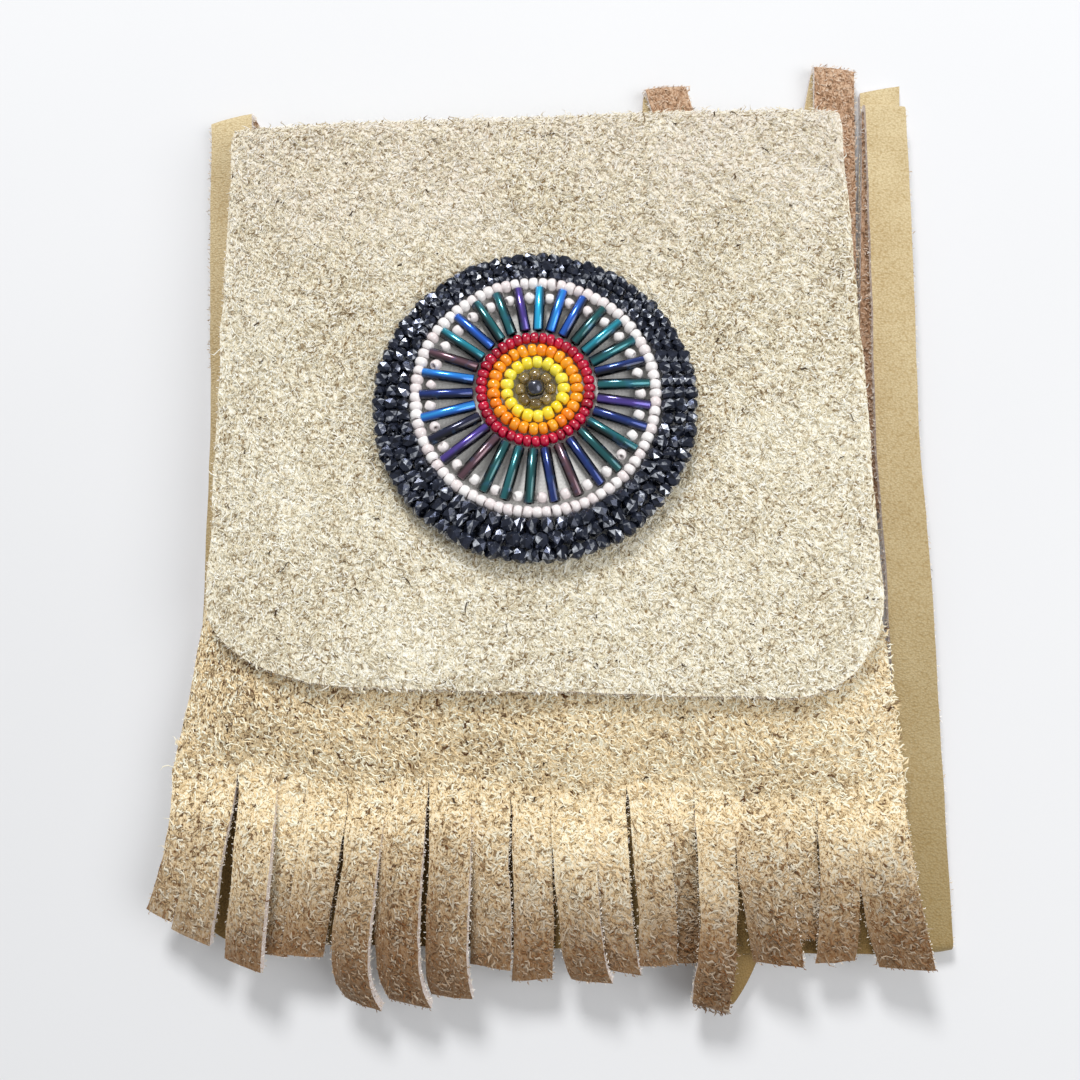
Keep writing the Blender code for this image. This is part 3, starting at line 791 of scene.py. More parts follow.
def front_piece(looks):
    """The pouch's front with its cut strips, one of which curls under at its end."""
    per_strip = 6
    bm = bmesh.new()
    starts = []
    for left, right in ROOTS:
        starts += [left + (right - left) * k / per_strip for k in range(per_strip)]
    starts.append(ROOTS[-1][1])
    body_steps = 64
    rows = []
    for i in range(body_steps + 1):
        base = MOUTH_DEPTH + (POUCH_LENGTH - MOUTH_DEPTH) * i / body_steps
        widening = half_width(base) / HALF_WIDTH_AT_FRINGE
        near_cuts = ease((base - POUCH_LENGTH + 25 * MM) / (25 * MM))
        row = []
        for j, start in enumerate(starts):
            index = min(j // per_strip, len(STRIPS) - 1)
            across = start * widening
            if j in (0, len(starts) - 1):
                across += ragged(base, 51.0 + j) * (1.0 - near_cuts)
            side = (j % per_strip) / per_strip
            last = cut_start(start, index)
            if side == 0.0 and 0 < j < len(starts) - 1:
                last = (cut_start(start, index - 1) + last) / 2
            down = base + (last - POUCH_LENGTH) * near_cuts
            height = front_height(across, base)
            point = Vector((across, down, 0.0))
            below_flap = ease((base - 88 * MM) / (12 * MM))
            wave = ripple(point, 15 * MM, 21.0) * 0.35 + ripple(point, 42 * MM, 25.0) * 0.5
            height += max(wave + 0.3, 0.0) * MM * below_flap * (1.0 - 0.7 * near_cuts)
            row.append(bm.verts.new(world(across + lean(base), down, height)))
        rows.append(row)
    for first, second in zip(rows, rows[1:]):
        bridge(bm, first, second)
    strip_steps = 26
    for index in range(len(STRIPS)):
        above = rows[-1][index * per_strip : (index + 1) * per_strip + 1]
        for step in range(1, strip_steps + 1):
            share = step / strip_steps
            below = []
            for k in range(per_strip + 1):
                side = 2.0 * k / per_strip - 1.0
                across, down, height = strip_path(index, share, side)
                join = ease(share * 4)
                root = rows[-1][index * per_strip + k].co
                across = root.x - CENTRE_X + (across - root.x + CENTRE_X) * ease(share * 9)
                height = root.z + (height - root.z) * join
                if step == strip_steps and index != CURLED_STRIP:
                    down += ragged(across, 61.0 + index)
                below.append(bm.verts.new(world(across, down, height)))
            bridge(bm, above, below)
            above = below
        if index == CURLED_STRIP:
            curl_under(bm, above)
    made = hide_piece("front_panel_hide", bm, looks)
    roughen(made, PEBBLE_HEIGHT, 2.4 * MM, 8.0)
    return made


def curl_under(bm, last_row):
    """Folds the end of a strip under and back to the right, so that its smooth side shows there."""
    across, down = 0.95, 0.31
    slide = down / across
    crease = Vector((across, -down, 0.0)).normalized()
    outward = Vector((-down, -across, 0.0)).normalized()
    back = Vector((0.62, 0.78, 0.0)).normalized()
    drift = Vector((-0.12, 0.1, 0.05))
    fold_steps = 12
    run_steps = 8
    starts = [vertex.co.copy() for vertex in last_row]
    above = last_row
    for step in range(1, fold_steps + run_steps + 1):
        angle = math.pi * min(step / fold_steps, 1.0)
        share = max((step - fold_steps) / run_steps, 0.0)
        moved = outward * CURL_RADIUS * math.sin(angle) + crease * CURL_RADIUS * angle * slide
        moved -= UP * CURL_RADIUS * (1.0 - math.cos(angle))
        moved += back * CURL_RUN * share + drift * CURL_RUN * share**2
        below = [bm.verts.new(start + moved) for start in starts]
        bridge(bm, above, below)
        above = below


def plan(stop):
    """A stop of the strap's route, seen from above."""
    return Vector((stop[1] * MM + CENTRE_X, FOLD_Y - stop[2] * MM, 0.0))


def strap_sections():
    """Middle, width vector and thickness direction of each section along the strap."""
    turns = [i for i, stop in enumerate(STRAP_ROUTE) if stop[0] != "on"]
    place = plan(STRAP_ROUTE[0])
    facing = 1.0
    sections = []
    fold_steps = 12
    width_after = None
    for start, end in zip(turns, turns[1:]):
        places = [place] + [plan(stop) for stop in STRAP_ROUTE[start + 1 : end + 1]]
        heights = [STRAP_ROUTE[start][-1]] + [stop[3] for stop in STRAP_ROUTE[start + 1 : end + 1]]
        first_ahead = (places[1] - places[0]).normalized()
        stop = STRAP_ROUTE[end]
        ahead = (places[-1] - places[-2]).normalized()
        width_before = ahead.cross(UP * facing)
        if stop[0] == "fold":
            after = (plan(STRAP_ROUTE[end + 1]) - places[-1]).normalized()
            outward = (ahead - after).normalized()
            crease = (ahead + after).normalized()
            if crease.dot(width_before) < 0:
                crease = -crease
            width_before = crease * (1.0 / crease.dot(width_before))
        if width_after is None:
            width_after = first_ahead.cross(UP * facing)
        lengths = [(b - a).length for a, b in zip(places, places[1:])]
        total = sum(lengths)
        count = max(int(total / STRAP_STEP), 4)
        for i in range(count):
            travelled = total * i / count
            leg = 0
            rest = travelled
            while leg < len(lengths) - 1 and rest > lengths[leg]:
                rest -= lengths[leg]
                leg += 1
            share = rest / lengths[leg]
            middle = places[leg].lerp(places[leg + 1], share)
            direction = (places[leg + 1] - places[leg]).normalized()
            if share > 0.5 and leg < len(lengths) - 1:
                following = (places[leg + 2] - places[leg + 1]).normalized()
                direction = direction.lerp(following, share - 0.5).normalized()
            elif share < 0.5 and leg > 0:
                before = (places[leg] - places[leg - 1]).normalized()
                direction = direction.lerp(before, 0.5 - share).normalized()
            height = heights[leg] + (heights[leg + 1] - heights[leg]) * ease(share)
            side = direction.cross(UP * facing)
            from_start = ease(travelled / STRAP_TURN_RUN)
            to_end = ease((total - travelled) / STRAP_TURN_RUN)
            side = width_after.lerp(side, from_start)
            side = width_before.lerp(side, to_end)
            sections.append((middle + UP * height, side * STRAP_WIDTH, UP * facing))
        if stop[0] == "end":
            cut = width_before + ahead * STRAP_END_SLANT * facing
            sections.append((places[-1] + UP * stop[3], cut * STRAP_WIDTH, UP * facing))
            break
        oblique = width_before * STRAP_WIDTH
        shift = ahead.dot(crease) / ahead.dot(outward)
        radius = (stop[4] - stop[3]) / 2
        climbs = 1.0 if radius > 0 else -1.0
        for i in range(fold_steps + 1):
            angle = math.pi * i / fold_steps
            middle = places[-1] + outward * abs(radius) * math.sin(angle)
            middle += crease * abs(radius) * angle * shift
            middle += UP * (stop[3] + radius * (1.0 - math.cos(angle)))
            normal = (UP * math.cos(angle) - outward * climbs * math.sin(angle)) * facing
            sections.append((middle, oblique, normal))
        place = places[-1] + crease * abs(radius) * math.pi * shift
        facing = -facing
        side = after.cross(UP * facing)
        width_after = crease if crease.dot(side) > 0 else -crease
        width_after = width_after * (1.0 / width_after.dot(side))
    return sections


def strap_piece(looks):
    """The folded strap: its suede side is the side its sections' direction points to."""
    per_side = 4
    bm = bmesh.new()
    rings = []
    travelled = 0.0
    half = STRAP_THICKNESS / 2
    sections = strap_sections()
    before = sections[0][0]
    for middle, width, normal in sections:
        travelled += (middle - before).length
        before = middle
        ring = []
        fray = (ragged(travelled, 71.0), ragged(travelled, 77.0))
        for face in (-1.0, 1.0):
            for k in range(per_side + 1):
                u = (2.0 * k / per_side - 1.0) * -face
                edge = width.normalized() * (fray[0] if u < 0 else fray[1]) * abs(u) * 0.5
                thinner = 1.0 - 0.22 * abs(u) ** 3
                point = middle + width * (u / 2) + edge + normal * half * face * thinner
                ring.append(bm.verts.new(point))
        rings.append(ring)
    last = len(rings[0]) - 1
    for first, second in zip(rings, rings[1:]):
        for i, face in enumerate(bridge_rings(bm, first, second)):
            side = INNER_SIDE if i < per_side else OUTER_SIDE
            face.material_index = CUT_SIDE if i in (per_side, last) else side
    for ring in (rings[0], rings[-1]):
        bm.faces.new(ring).material_index = CUT_SIDE
    bmesh.ops.recalc_face_normals(bm, faces=bm.faces)
    mesh = mesh_from("strap_hide", bm, looks)
    mesh.shade_smooth()
    mesh.set_sharp_from_angle(angle=STRAP_SHARP_TURN)
    return in_scene("strap_hide", mesh)


# Geometry Nodes


def new_tree(name, inputs):
    """An empty tree with named inputs. Gives its bench and a wire for each input."""
    tree = bpy.data.node_groups.new(name, "GeometryNodeTree")
    tree.interface.new_socket("Geometry", in_out="INPUT", socket_type="NodeSocketGeometry")
    tree.interface.new_socket("Geometry", in_out="OUTPUT", socket_type="NodeSocketGeometry")
    for label, kind in inputs.items():
        tree.interface.new_socket(label, in_out="INPUT", socket_type=f"NodeSocket{kind}")
    bench = Bench(tree)
    entry = tree.nodes.new("NodeGroupInput")
    wires = {socket.name: Wire(bench, socket) for socket in entry.outputs if socket.name}
    return bench, wires


def close_tree(bench, instances, material):
    """Ends a tree: what was instanced becomes real mesh with its material."""
    real = bench.make("GeometryNodeRealizeInstances", None, {0: instances})
    dressed = bench.make("GeometryNodeSetMaterial", None, {"Geometry": real, "Material": material})
    leaving = bench.tree.nodes.new("NodeGroupOutput")
    bench.tree.links.new(dressed.socket, leaving.inputs[0])
    return bench.tree


def any_number(bench, low, high, seed):
    """A random number for each point."""
    values = {2: low, 3: high, "Seed": seed}
    return bench.make("FunctionNodeRandomValue", {"data_type": "FLOAT"}, values, give=1)


def nap_tree():
    """Strews bent fibres over a surface, lying in swirls and lifting here and there."""
    inputs = {"Fibres": "Collection", "Density": "Float", "Length": "Float", "Thickness": "Float"}
    inputs.update({"Breadth": "Float", "Lift": "Float", "Swirl": "Float", "Spread": "Float"})
    inputs.update({"Seed": "Int", "Material": "Material"})
    bench, given = new_tree("nap", inputs)
    values = {"Mesh": given["Geometry"], "Density": given["Density"], "Seed": given["Seed"]}
    points = bench.make("GeometryNodeDistributePointsOnFaces", None, values)
    normal = Wire(bench, points.socket.node.outputs["Normal"])
    spot = bench.make("GeometryNodeInputPosition")
    swirl = bench.cloud(spot, given["Swirl"], 2.0)
    turn = (swirl - 0.5) * 3.0 + any_number(bench, -1.0, 1.0, 3) * given["Spread"]
    tilt = any_number(bench, 0.0, 1.0, 5) ** 2.0 * given["Lift"] * -1.0
    standing = bench.make("FunctionNodeAlignRotationToVector", {"axis": "Z"}, {"Vector": normal})
    flat = bench.make("ShaderNodeCombineXYZ", None, {"Z": turn})
    flat = bench.make("FunctionNodeEulerToRotation", None, {0: flat})
    settings = {"rotation_space": "LOCAL"}
    lying = bench.make("FunctionNodeRotateRotation", settings, {"Rotation": standing, "Rotate By": flat})
    raised = bench.make("ShaderNodeCombineXYZ", None, {"Y": tilt})
    raised = bench.make("FunctionNodeEulerToRotation", None, {0: raised})
    lying = bench.make("FunctionNodeRotateRotation", settings, {"Rotation": lying, "Rotate By": raised})
    length = given["Length"] * any_number(bench, 0.55, 1.3, 7)
    thick = given["Thickness"] * any_number(bench, 0.7, 1.25, 9)
    values = {"X": length, "Y": length * given["Breadth"], "Z": thick}
    size = bench.make("ShaderNodeCombineXYZ", None, values)
    values = {"Collection": given["Fibres"], "Separate Children": True}
    fibres = bench.make("GeometryNodeCollectionInfo", None, values)
    values = {4: 0, 5: len(FIBRES) - 1, "Seed": 11}
    kind = bench.make("FunctionNodeRandomValue", {"data_type": "INT"}, values, give=2)
    values = {"Points": points, "Instance": fibres, "Pick Instance": True, "Instance Index": kind}
    values.update({"Rotation": lying, "Scale": size})
    strewn = bench.make("GeometryNodeInstanceOnPoints", None, values)
    values = {"Geometry": strewn, "Name": "tint", "Value": any_number(bench, 0.0, 1.0, 13)}
    settings = {"data_type": "FLOAT", "domain": "INSTANCE"}
    tinted = bench.make("GeometryNodeStoreNamedAttribute", settings, values)
    return close_tree(bench, tinted, given["Material"])


def bead_tree():
    """A ring of beads on a string. The rows of a spreading ring lie closer on the fold's side."""
    inputs = {"Bead": "Object", "Count": "Int", "Start": "Float", "Radius": "Float", "Row": "Float"}
    inputs.update({"Pitch": "Float", "Pitch Change": "Float", "Thickness": "Float", "Length": "Float"})
    inputs.update({"Unevenness": "Float", "Tilt": "Float", "Wander": "Float", "Middle": "Vector"})
    inputs["Shift"] = "Float"
    inputs.update({"Seed": "Int", "Material": "Material"})
    bench, given = new_tree("bead_ring", inputs)
    number = bench.make("GeometryNodeInputIndex")
    full = 2.0 * math.pi
    share = bench.maths("DIVIDE", number, given["Count"])
    angle = share * full + given["Start"]
    sine = bench.maths("SINE", angle)
    pitch = given["Pitch"] - given["Pitch Change"] * sine
    step = bench.make("ShaderNodeCombineXYZ", None, {"X": share * 9.0, "Y": given["Seed"]})
    wander = (bench.cloud(step, 1.0, 2.0) - 0.5) * given["Wander"]
    radius = given["Radius"] + pitch * given["Row"] + wander - given["Shift"] * sine
    thick = given["Thickness"] + pitch
    values = {"X": radius * bench.maths("COSINE", angle), "Y": radius * sine, "Z": thick * 0.5}
    spot = bench.make("ShaderNodeCombineXYZ", None, values)
    settings = {"operation": "ADD"}
    spot = bench.make("ShaderNodeVectorMath", settings, {0: spot, 1: given["Middle"]})
    points = bench.make("GeometryNodePoints", None, {"Count": given["Count"], "Position": spot})
    values = {"X": any_number(bench, 0.0, full, 1), "Y": any_number(bench, -1.0, 1.0, 2) * given["Tilt"]}
    values["Z"] = angle + 0.5 * math.pi + any_number(bench, -1.0, 1.0, 4) * given["Tilt"]
    turned = bench.make("ShaderNodeCombineXYZ", None, values)
    turned = bench.make("FunctionNodeEulerToRotation", None, {0: turned})
    uneven = any_number(bench, -1.0, 1.0, 6) * given["Unevenness"] + 1.0
    longer = any_number(bench, -1.0, 1.0, 8) * given["Unevenness"] + 1.0
    values = {"X": given["Length"] * longer, "Y": thick * uneven, "Z": thick * uneven}
    size = bench.make("ShaderNodeCombineXYZ", None, values)
    values = {"Points": points, "Rotation": turned, "Scale": size}
    values["Instance"] = bench.make("GeometryNodeObjectInfo", None, {"Object": given["Bead"]}, give=4)
    strung = bench.make("GeometryNodeInstanceOnPoints", None, values)
    values = {"Geometry": strung, "Name": "tint", "Value": any_number(bench, 0.0, 1.0, 10)}
    settings = {"data_type": "FLOAT", "domain": "INSTANCE"}
    tinted = bench.make("GeometryNodeStoreNamedAttribute", settings, values)
    return close_tree(bench, tinted, given["Material"])


def grow(name, carrier, tree, **values):
    """Runs a tree on a carrier mesh and keeps the result as a plain mesh."""
    made = in_scene(name, carrier)
    modifier = made.modifiers.new(name, "NODES")
    modifier.node_group = tree
    for item in tree.interface.items_tree:
        label = item.name.replace(" ", "_").lower()
        if item.in_out == "INPUT" and label in values:
            modifier[item.identifier] = values[label]
    return baked(made)


def only_faces(made, wanted):
    """A mesh with only those faces of a piece for which wanted holds. It is asked with the face's
    middle, material and normal, and whether the face lies along a cut edge."""
    bm = bmesh.new()
    bm.from_mesh(made.data)
    cut = {vertex for face in bm.faces if face.material_index == CUT_SIDE for vertex in face.verts}
    spare = []
    for face in bm.faces:
        by_cut = any(vertex in cut for vertex in face.verts)
        if not wanted(face.calc_center_median(), face.material_index, face.normal, by_cut):
            spare.append(face)
    bmesh.ops.delete(bm, geom=spare, context="FACES")
    return mesh_from("carrier", bm)


def fibre(name, bends, lift):
    """A curly fibre of unit length, thin at both ends; each bend is how far it swings sideways."""
    bm = bmesh.new()
    rings = []
    for number, bend in enumerate(bends):
        along = (number + 1) / (len(bends) + 1)
        ring = []
        for k in range(3):
            turn = 2.0 * math.pi * k / 3 + 0.5 * math.pi
            side = bend + FIBRE_WIDTH / 2 * math.cos(turn)
            ring.append(bm.verts.new((along, side, lift + 0.5 * math.sin(turn))))
        rings.append(ring)
    start = bm.verts.new((0.0, 0.0, -0.3))
    end = bm.verts.new((0.95, -0.3 * bends[-1], lift * 1.1))
    for k in range(3):
        after = (k + 1) % 3
        bm.faces.new((start, rings[0][after], rings[0][k]))
        for a, b in zip(rings, rings[1:]):
            bm.faces.new((a[k], a[after], b[after], b[k]))
        bm.faces.new((end, rings[-1][k], rings[-1][after]))
    bmesh.ops.recalc_face_normals(bm, faces=bm.faces)
    return bpy.data.objects.new(name, mesh_from(name, bm))


def fibre_kinds(name, shapes):
    """A collection with one fibre of each shape."""
    made = bpy.data.collections.new(f"{name}s")
    for number, (bends, lift) in enumerate(shapes):
        made.objects.link(fibre(f"{name}_{number}", bends, lift))
    return made


def turned_bead(name, profile, sides, smooth=True, twist=0.0):
    """A bead of unit thickness and length whose hole runs along X."""
    bm = bmesh.new()
    rings = []
    for number, (along, radius) in enumerate(profile):
        ring = []
        for k in range(sides):
            turn = 2.0 * math.pi * (k + twist * number) / sides
            ring.append(bm.verts.new((along, radius * math.cos(turn), radius * math.sin(turn))))
        rings.append(ring)
    for first, second in zip(rings, rings[1:] + rings[:1]):
        if not twist:
            bridge_rings(bm, first, second)
            continue
        for k in range(sides):
            after = (k + 1) % sides
            bm.faces.new((first[k], first[after], second[k]))
            bm.faces.new((first[after], second[after], second[k]))
    bmesh.ops.recalc_face_normals(bm, faces=bm.faces)
    mesh = mesh_from(name, bm)
    chance = random.Random(9)
    facets = mesh.attributes.new("facet", "FLOAT", "FACE")
    for facet in facets.data:
        facet.value = chance.random()
    if smooth:
        mesh.shade_smooth()
    return bpy.data.objects.new(name, mesh)


def seed_bead():
    """A round seed bead: a fat ring, rounded outside, with a narrow hole."""
    steps = 9
    profile = []
    for i in range(steps):
        turn = math.pi * (i + 0.5) / steps
        along = -0.5 * math.cos(turn) / math.cos(0.5 * math.pi / steps)
        profile.append((along, 0.2 + 0.3 * math.sin(turn) ** 0.7))
    profile += [(0.34, 0.16), (-0.34, 0.16)]
    return turned_bead("seed_bead", profile, 12)


def cut_bead():
    """A short many-sided bead with ground facets."""
    profile = [(-0.5, 0.38), (-0.36, 0.5), (0.02, 0.54), (0.36, 0.5), (0.5, 0.38), (0.3, 0.17), (-0.3, 0.17)]
    return turned_bead("cut_bead", profile, 6, smooth=False, twist=0.5)


def bugle_piece(look):
    """The thirty bugle beads in one mesh: round glass tubes, each where its solid is but turned a
    little about the rosette's middle. Each tube has a painted highlight along it and painted shade on its
    sides."""
    teal = (16, 96, 136)
    sea = (12, 72, 84)
    bright = (18, 72, 150)
    blue = (14, 48, 106)
    navy = (9, 22, 60)
    green = (10, 52, 56)
    deep_green = (8, 42, 44)
    purple = (38, 28, 76)
    brown = (48, 32, 38)
    black = (10, 12, 28)
    order = [
        teal, bright, blue, deep_green, sea, green, navy, green, purple, navy,
        green, deep_green, navy, brown, navy, deep_green, green, deep_green, brown, purple,
        black, bright, navy, bright, brown, sea, blue, green, green, purple,
    ]
    sides = 12
    wall = 0.3 * MM
    rounding = 0.12 * MM
    turn = Matrix.Rotation(BUGLE_TURN, 3, "Z")
    chance = random.Random(30)
    bm = bmesh.new()
    painted = bm.verts.layers.float_color.new("bead_colour")
    for number, colour in enumerate(order):
        low, high = (Vector(corner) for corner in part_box(f"bugle_bead_{number + 1:02d}"))
        middle = (low + high) / 2
        apart = Vector((middle.x - bead_middle.x, middle.y - bead_middle.y, 0.0))
        out = apart.normalized()
        width = high.z - low.z
        along_x = abs(out.x) > abs(out.y)
        reach, across = (high.x - low.x, abs(out.y)) if along_x else (high.y - low.y, abs(out.x))
        half = (reach - across * width) / max(abs(out.x), abs(out.y)) / 2 + 0.3 * MM
        middle += turn @ apart - apart
        middle += 0.15 * MM * (turn @ out)
        middle.z = max(middle.z, low.z + BUGLE_RADIUS)
        angle = math.atan2(out.y, out.x) + BUGLE_TURN + chance.uniform(-0.04, 0.04)
        turned = Matrix.Translation(middle) @ Matrix.Rotation(angle, 4, "Z")
        profile = [
            (-half + wall, 0.5), (-half, 0.55), (-half, 0.85), (-half + rounding, 1.0), (0.0, 1.0),
            (half - rounding, 1.0), (half, 0.85), (half, 0.55), (half - wall, 0.5),
        ]
        highlight_turn = chance.uniform(1.1, 2.0)
        rings = []
        for along, share in profile:
            ring = []
            radius = share * BUGLE_RADIUS
            for k in range(sides):
                corner = 2.0 * math.pi * k / sides
                spot = Vector((along, radius * math.cos(corner), radius * math.sin(corner)))
                vertex = bm.verts.new(turned @ spot)
                # Painted light: a bright highlight along the tube's upper side, and painted shade on the
                # rest.
                highlight_and_shade = 0.25 + 1.9 * max(math.cos(corner - highlight_turn), 0.0) ** 4
                vertex[painted] = paint(*[min(value * highlight_and_shade + 8 * highlight_and_shade, 255.0) for value in colour])
                ring.append(vertex)
            rings.append(ring)
        for first, second in zip(rings, rings[1:] + rings[:1]):
            bridge_rings(bm, first, second)
    bmesh.ops.recalc_face_normals(bm, faces=bm.faces)
    mesh = mesh_from("bugle_beads", bm, [look])
    mesh.shade_smooth()
    mesh.set_sharp_from_angle(angle=SHARP_TURN)
    return in_scene("bugle_beads", mesh)


def backing_piece(look):
    """The round cloth under the beads, cut a little unevenly."""
    low, high = (Vector(corner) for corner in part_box("rosette_backing"))
    middle = (low + high) / 2
    radius = (high.x - low.x) / 2
    thickness = BEAD_SEAT - GAP - low.z
    sides = 120
    bm = bmesh.new()
    rings = []
    for share, height in ((0.35, 1), (0.7, 1), (0.985, 1), (1.0, 0.8), (1.0, 0.2), (0.985, 0)):
        ring = []
        for k in range(sides):
            angle = 2.0 * math.pi * k / sides
            out = radius * share + (ragged(angle * radius, 81.0) if share > 0.9 else 0.0)
            spot = Vector((middle.x + out * math.cos(angle), middle.y + out * math.sin(angle), 0.0))
            lift = 0.0 if share > 0.9 else 0.04 * MM * ripple(spot, 4 * MM, 83.0)
            ring.append(bm.verts.new(spot + UP * (low.z + thickness * height + lift)))
        rings.append(ring)
    for first, second in zip(rings, rings[1:]):
        bridge_rings(bm, first, second)
    bm.faces.new(rings[0])
    bm.faces.new(rings[-1])
    bmesh.ops.recalc_face_normals(bm, faces=bm.faces)
    return in_scene("rosette_cloth", mesh_from("rosette_cloth", bm, [look]))


# The pieces


# On the suede the dark colours are painted shade in its hollows and between its fibres; on the nap they are
# the darkest fibres' own tone.
FLAP_DARK = paint(138, 112, 76)
FLAP_MIDDLE = paint(234, 225, 198)
FLAP_LIGHT = paint(255, 253, 243)
MAUVE = paint(212, 198, 192)
BODY_DARK = paint(92, 56, 24)
BODY_MIDDLE = paint(246, 222, 176)
BODY_LIGHT = paint(255, 251, 230)
# The tips' colour: partly their own darker brown, partly painted shade where the strips bend down away from
# the light.
TIP_BROWN_AND_SHADE = paint(124, 84, 48)
SPECK = paint(66, 50, 36)


def settle(made, slot, *nodes):
    """Attaches a piece to the root body and hides the solids that it replaces. Its slot is not used."""
    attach(made, "root")
    if nodes:
        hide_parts(*nodes)
    return made


def on_flap(spot, material, normal, by_cut):
    """The flap's outer side where no beads cover it, bare along the cut edge on the right."""
    under_beads = (spot - ROSETTE_CENTRE).xy.length < BEADS_COVER
    outward = normal.z > -0.2 or spot.y > FOLD_Y - FOLD_DOWN
    bare = by_cut and spot.x > 0.0
    return material == OUTER_SIDE and outward and not under_beads and spot.z > BACK_HEIGHT and not bare


def on_upper_flap(spot, *about):
    return spot.y > FOLD_Y - FLAP_PARTING and on_flap(spot, *about)


def on_lower_flap(spot, *about):
    return spot.y <= FOLD_Y - FLAP_PARTING and on_flap(spot, *about)


def inside_flap(spot, material, normal, by_cut):
    return not by_cut and on_flap(spot, material, normal, by_cut)


def on_back(spot, material, normal, by_cut):
    return material == OUTER_SIDE and normal.z <= -0.2 and spot.y <= FOLD_Y - FOLD_DOWN


def on_front(spot, material, normal, by_cut):
    """The front panel's outer side where the flap leaves it open, bare along the strips' cuts."""
    bare = by_cut and spot.y < FOLD_Y - POUCH_LENGTH
    shown = spot.y < FOLD_Y - FRONT_SHOWN and spot.z > LOWEST_NAP
    return material == OUTER_SIDE and shown and not bare


def on_rim(spot, material, normal, by_cut):
    """The outer side along the strips' cuts."""
    on_strip = spot.y < FOLD_Y - POUCH_LENGTH and spot.z > LOWEST_NAP
    return material == OUTER_SIDE and by_cut and on_strip


def on_strap(spot, material, normal, by_cut):
    """The strap's suede side where it shows beside or above the bag."""
    beside = spot.x - CENTRE_X > HALF_WIDTH_AT_FOLD - STRAP_SHOWN
    above = spot.y > FOLD_Y - STRAP_TOPS_SHOWN
    return material == OUTER_SIDE and (beside or above) and spot.z > LOWEST_NAP


def on_edge(spot, material, normal, by_cut):
    return material == CUT_SIDE and spot.z > LOWEST_NAP


def leather_goods():
    """The two hides, the strap and their nap."""
    # The last colour of each grain is the painted shade at its low end.
    golden = grain("golden_grain", paint(182, 156, 108), paint(226, 209, 168), paint(126, 102, 46))
    # The hides' inner sides: a darker copy of the golden grain, painted shade for where they show in the
    # gaps between the strips and inside the curled strip.
    inner = grain("inner_grain", paint(146, 118, 68), paint(188, 160, 104), paint(136, 108, 58))
    edge = cut_edge("cut_edge", paint(212, 194, 184), paint(248, 242, 240))
    flap_suede = suede("flap_suede", FLAP_DARK, FLAP_MIDDLE, FLAP_LIGHT, mauve=MAUVE)
    front_suede = suede("front_suede", BODY_DARK, BODY_MIDDLE, BODY_LIGHT, tip=TIP_BROWN_AND_SHADE)
    # Its dark colour is painted shade in the suede's hollows.
    strap_suede = suede("strap_suede", paint(116, 84, 56), paint(184, 146, 116), paint(218, 190, 162))
    flap_nap = nap("flap_nap", FLAP_DARK, FLAP_MIDDLE, FLAP_LIGHT, mauve=MAUVE)
    front_nap = nap("front_nap", BODY_DARK, BODY_MIDDLE, BODY_LIGHT, tip=TIP_BROWN_AND_SHADE)
    strap_nap = nap("strap_nap", paint(108, 80, 52), paint(186, 152, 120), paint(234, 212, 190))
    edge_nap = nap("edge_nap", paint(196, 172, 140), paint(238, 228, 210), paint(252, 248, 242))

    hide = back_and_flap_piece([flap_suede, inner, edge])
    front = front_piece([front_suede, inner, edge])
    strap = strap_piece([strap_suede, golden, edge])

    tree = nap_tree()
    short = {"fibres": fibre_kinds("fibre", FIBRES), "breadth": 1.0, "swirl": 140.0, "spread": 1.25}
    long = {"fibres": fibre_kinds("thread", THREADS), "breadth": 0.26, "swirl": 90.0, "spread": 3.0}
    flap_slot, front_slot, strap_slot = "flap_suede", "front_suede", "strap_leather"
    # Each nap: its name, piece, place, look, slot and fibres, its fibres to the square metre, its
    # seed, its fibres' length and thickness in mm, and how steeply they stand.
    naps = [
        ("flap_nap", hide, on_upper_flap, flap_nap, flap_slot, short, 3.4e6, 1, 1.1, 0.13, 0.5),
        ("low_flap_nap", hide, on_lower_flap, flap_nap, flap_slot, short, 3.4e6, 1, 1.1, 0.13, 0.5),
        ("front_nap", front, on_front, front_nap, front_slot, short, 3.0e6, 2, 1.35, 0.13, 0.5),
        ("flap_long_nap", hide, inside_flap, flap_nap, flap_slot, long, 0.42e6, 9, 2.6, 0.16, 0.3),
        ("front_long_nap", front, on_front, front_nap, front_slot, long, 0.13e6, 9, 2.6, 0.16, 0.3),
        ("back_nap", hide, on_back, flap_nap, flap_slot, short, 0.4e6, 3, 1.35, 0.13, 0.5),
        ("strap_nap", strap, on_strap, strap_nap, strap_slot, short, 2.4e6, 4, 0.9, 0.11, 0.8),
        ("strap_edge_nap", strap, on_edge, edge_nap, strap_slot, short, 3.0e6, 5, 0.75, 0.13, 1.1),
        ("flap_edge_nap", hide, on_edge, edge_nap, flap_slot, short, 3.0e6, 6, 0.5, 0.12, 0.8),
        ("fringe_rim_nap", front, on_rim, front_nap, front_slot, short, 4.4e6, 8, 0.65, 0.13, 0.6),
        ("fringe_edge_nap", front, on_edge, edge_nap, front_slot, short, 2.2e6, 7, 0.5, 0.12, 0.8),
    ]
    grown = []
    for name, piece, place, look, slot, kind, density, seed, length, thickness, lift in naps:
        sizes = {"length": length * MM, "thickness": thickness * MM, "lift": lift, **kind}
        carrier = only_faces(piece, place)
        made = grow(name, carrier, tree, density=density, material=look, seed=seed, **sizes)
        grown.append((made, slot))

    settle(hide, flap_slot, "back_and_flap")
    settle(front, front_slot, "front_panel")
    settle(strap, strap_slot, "strap")
    for made, slot in grown:
        settle(made, slot)


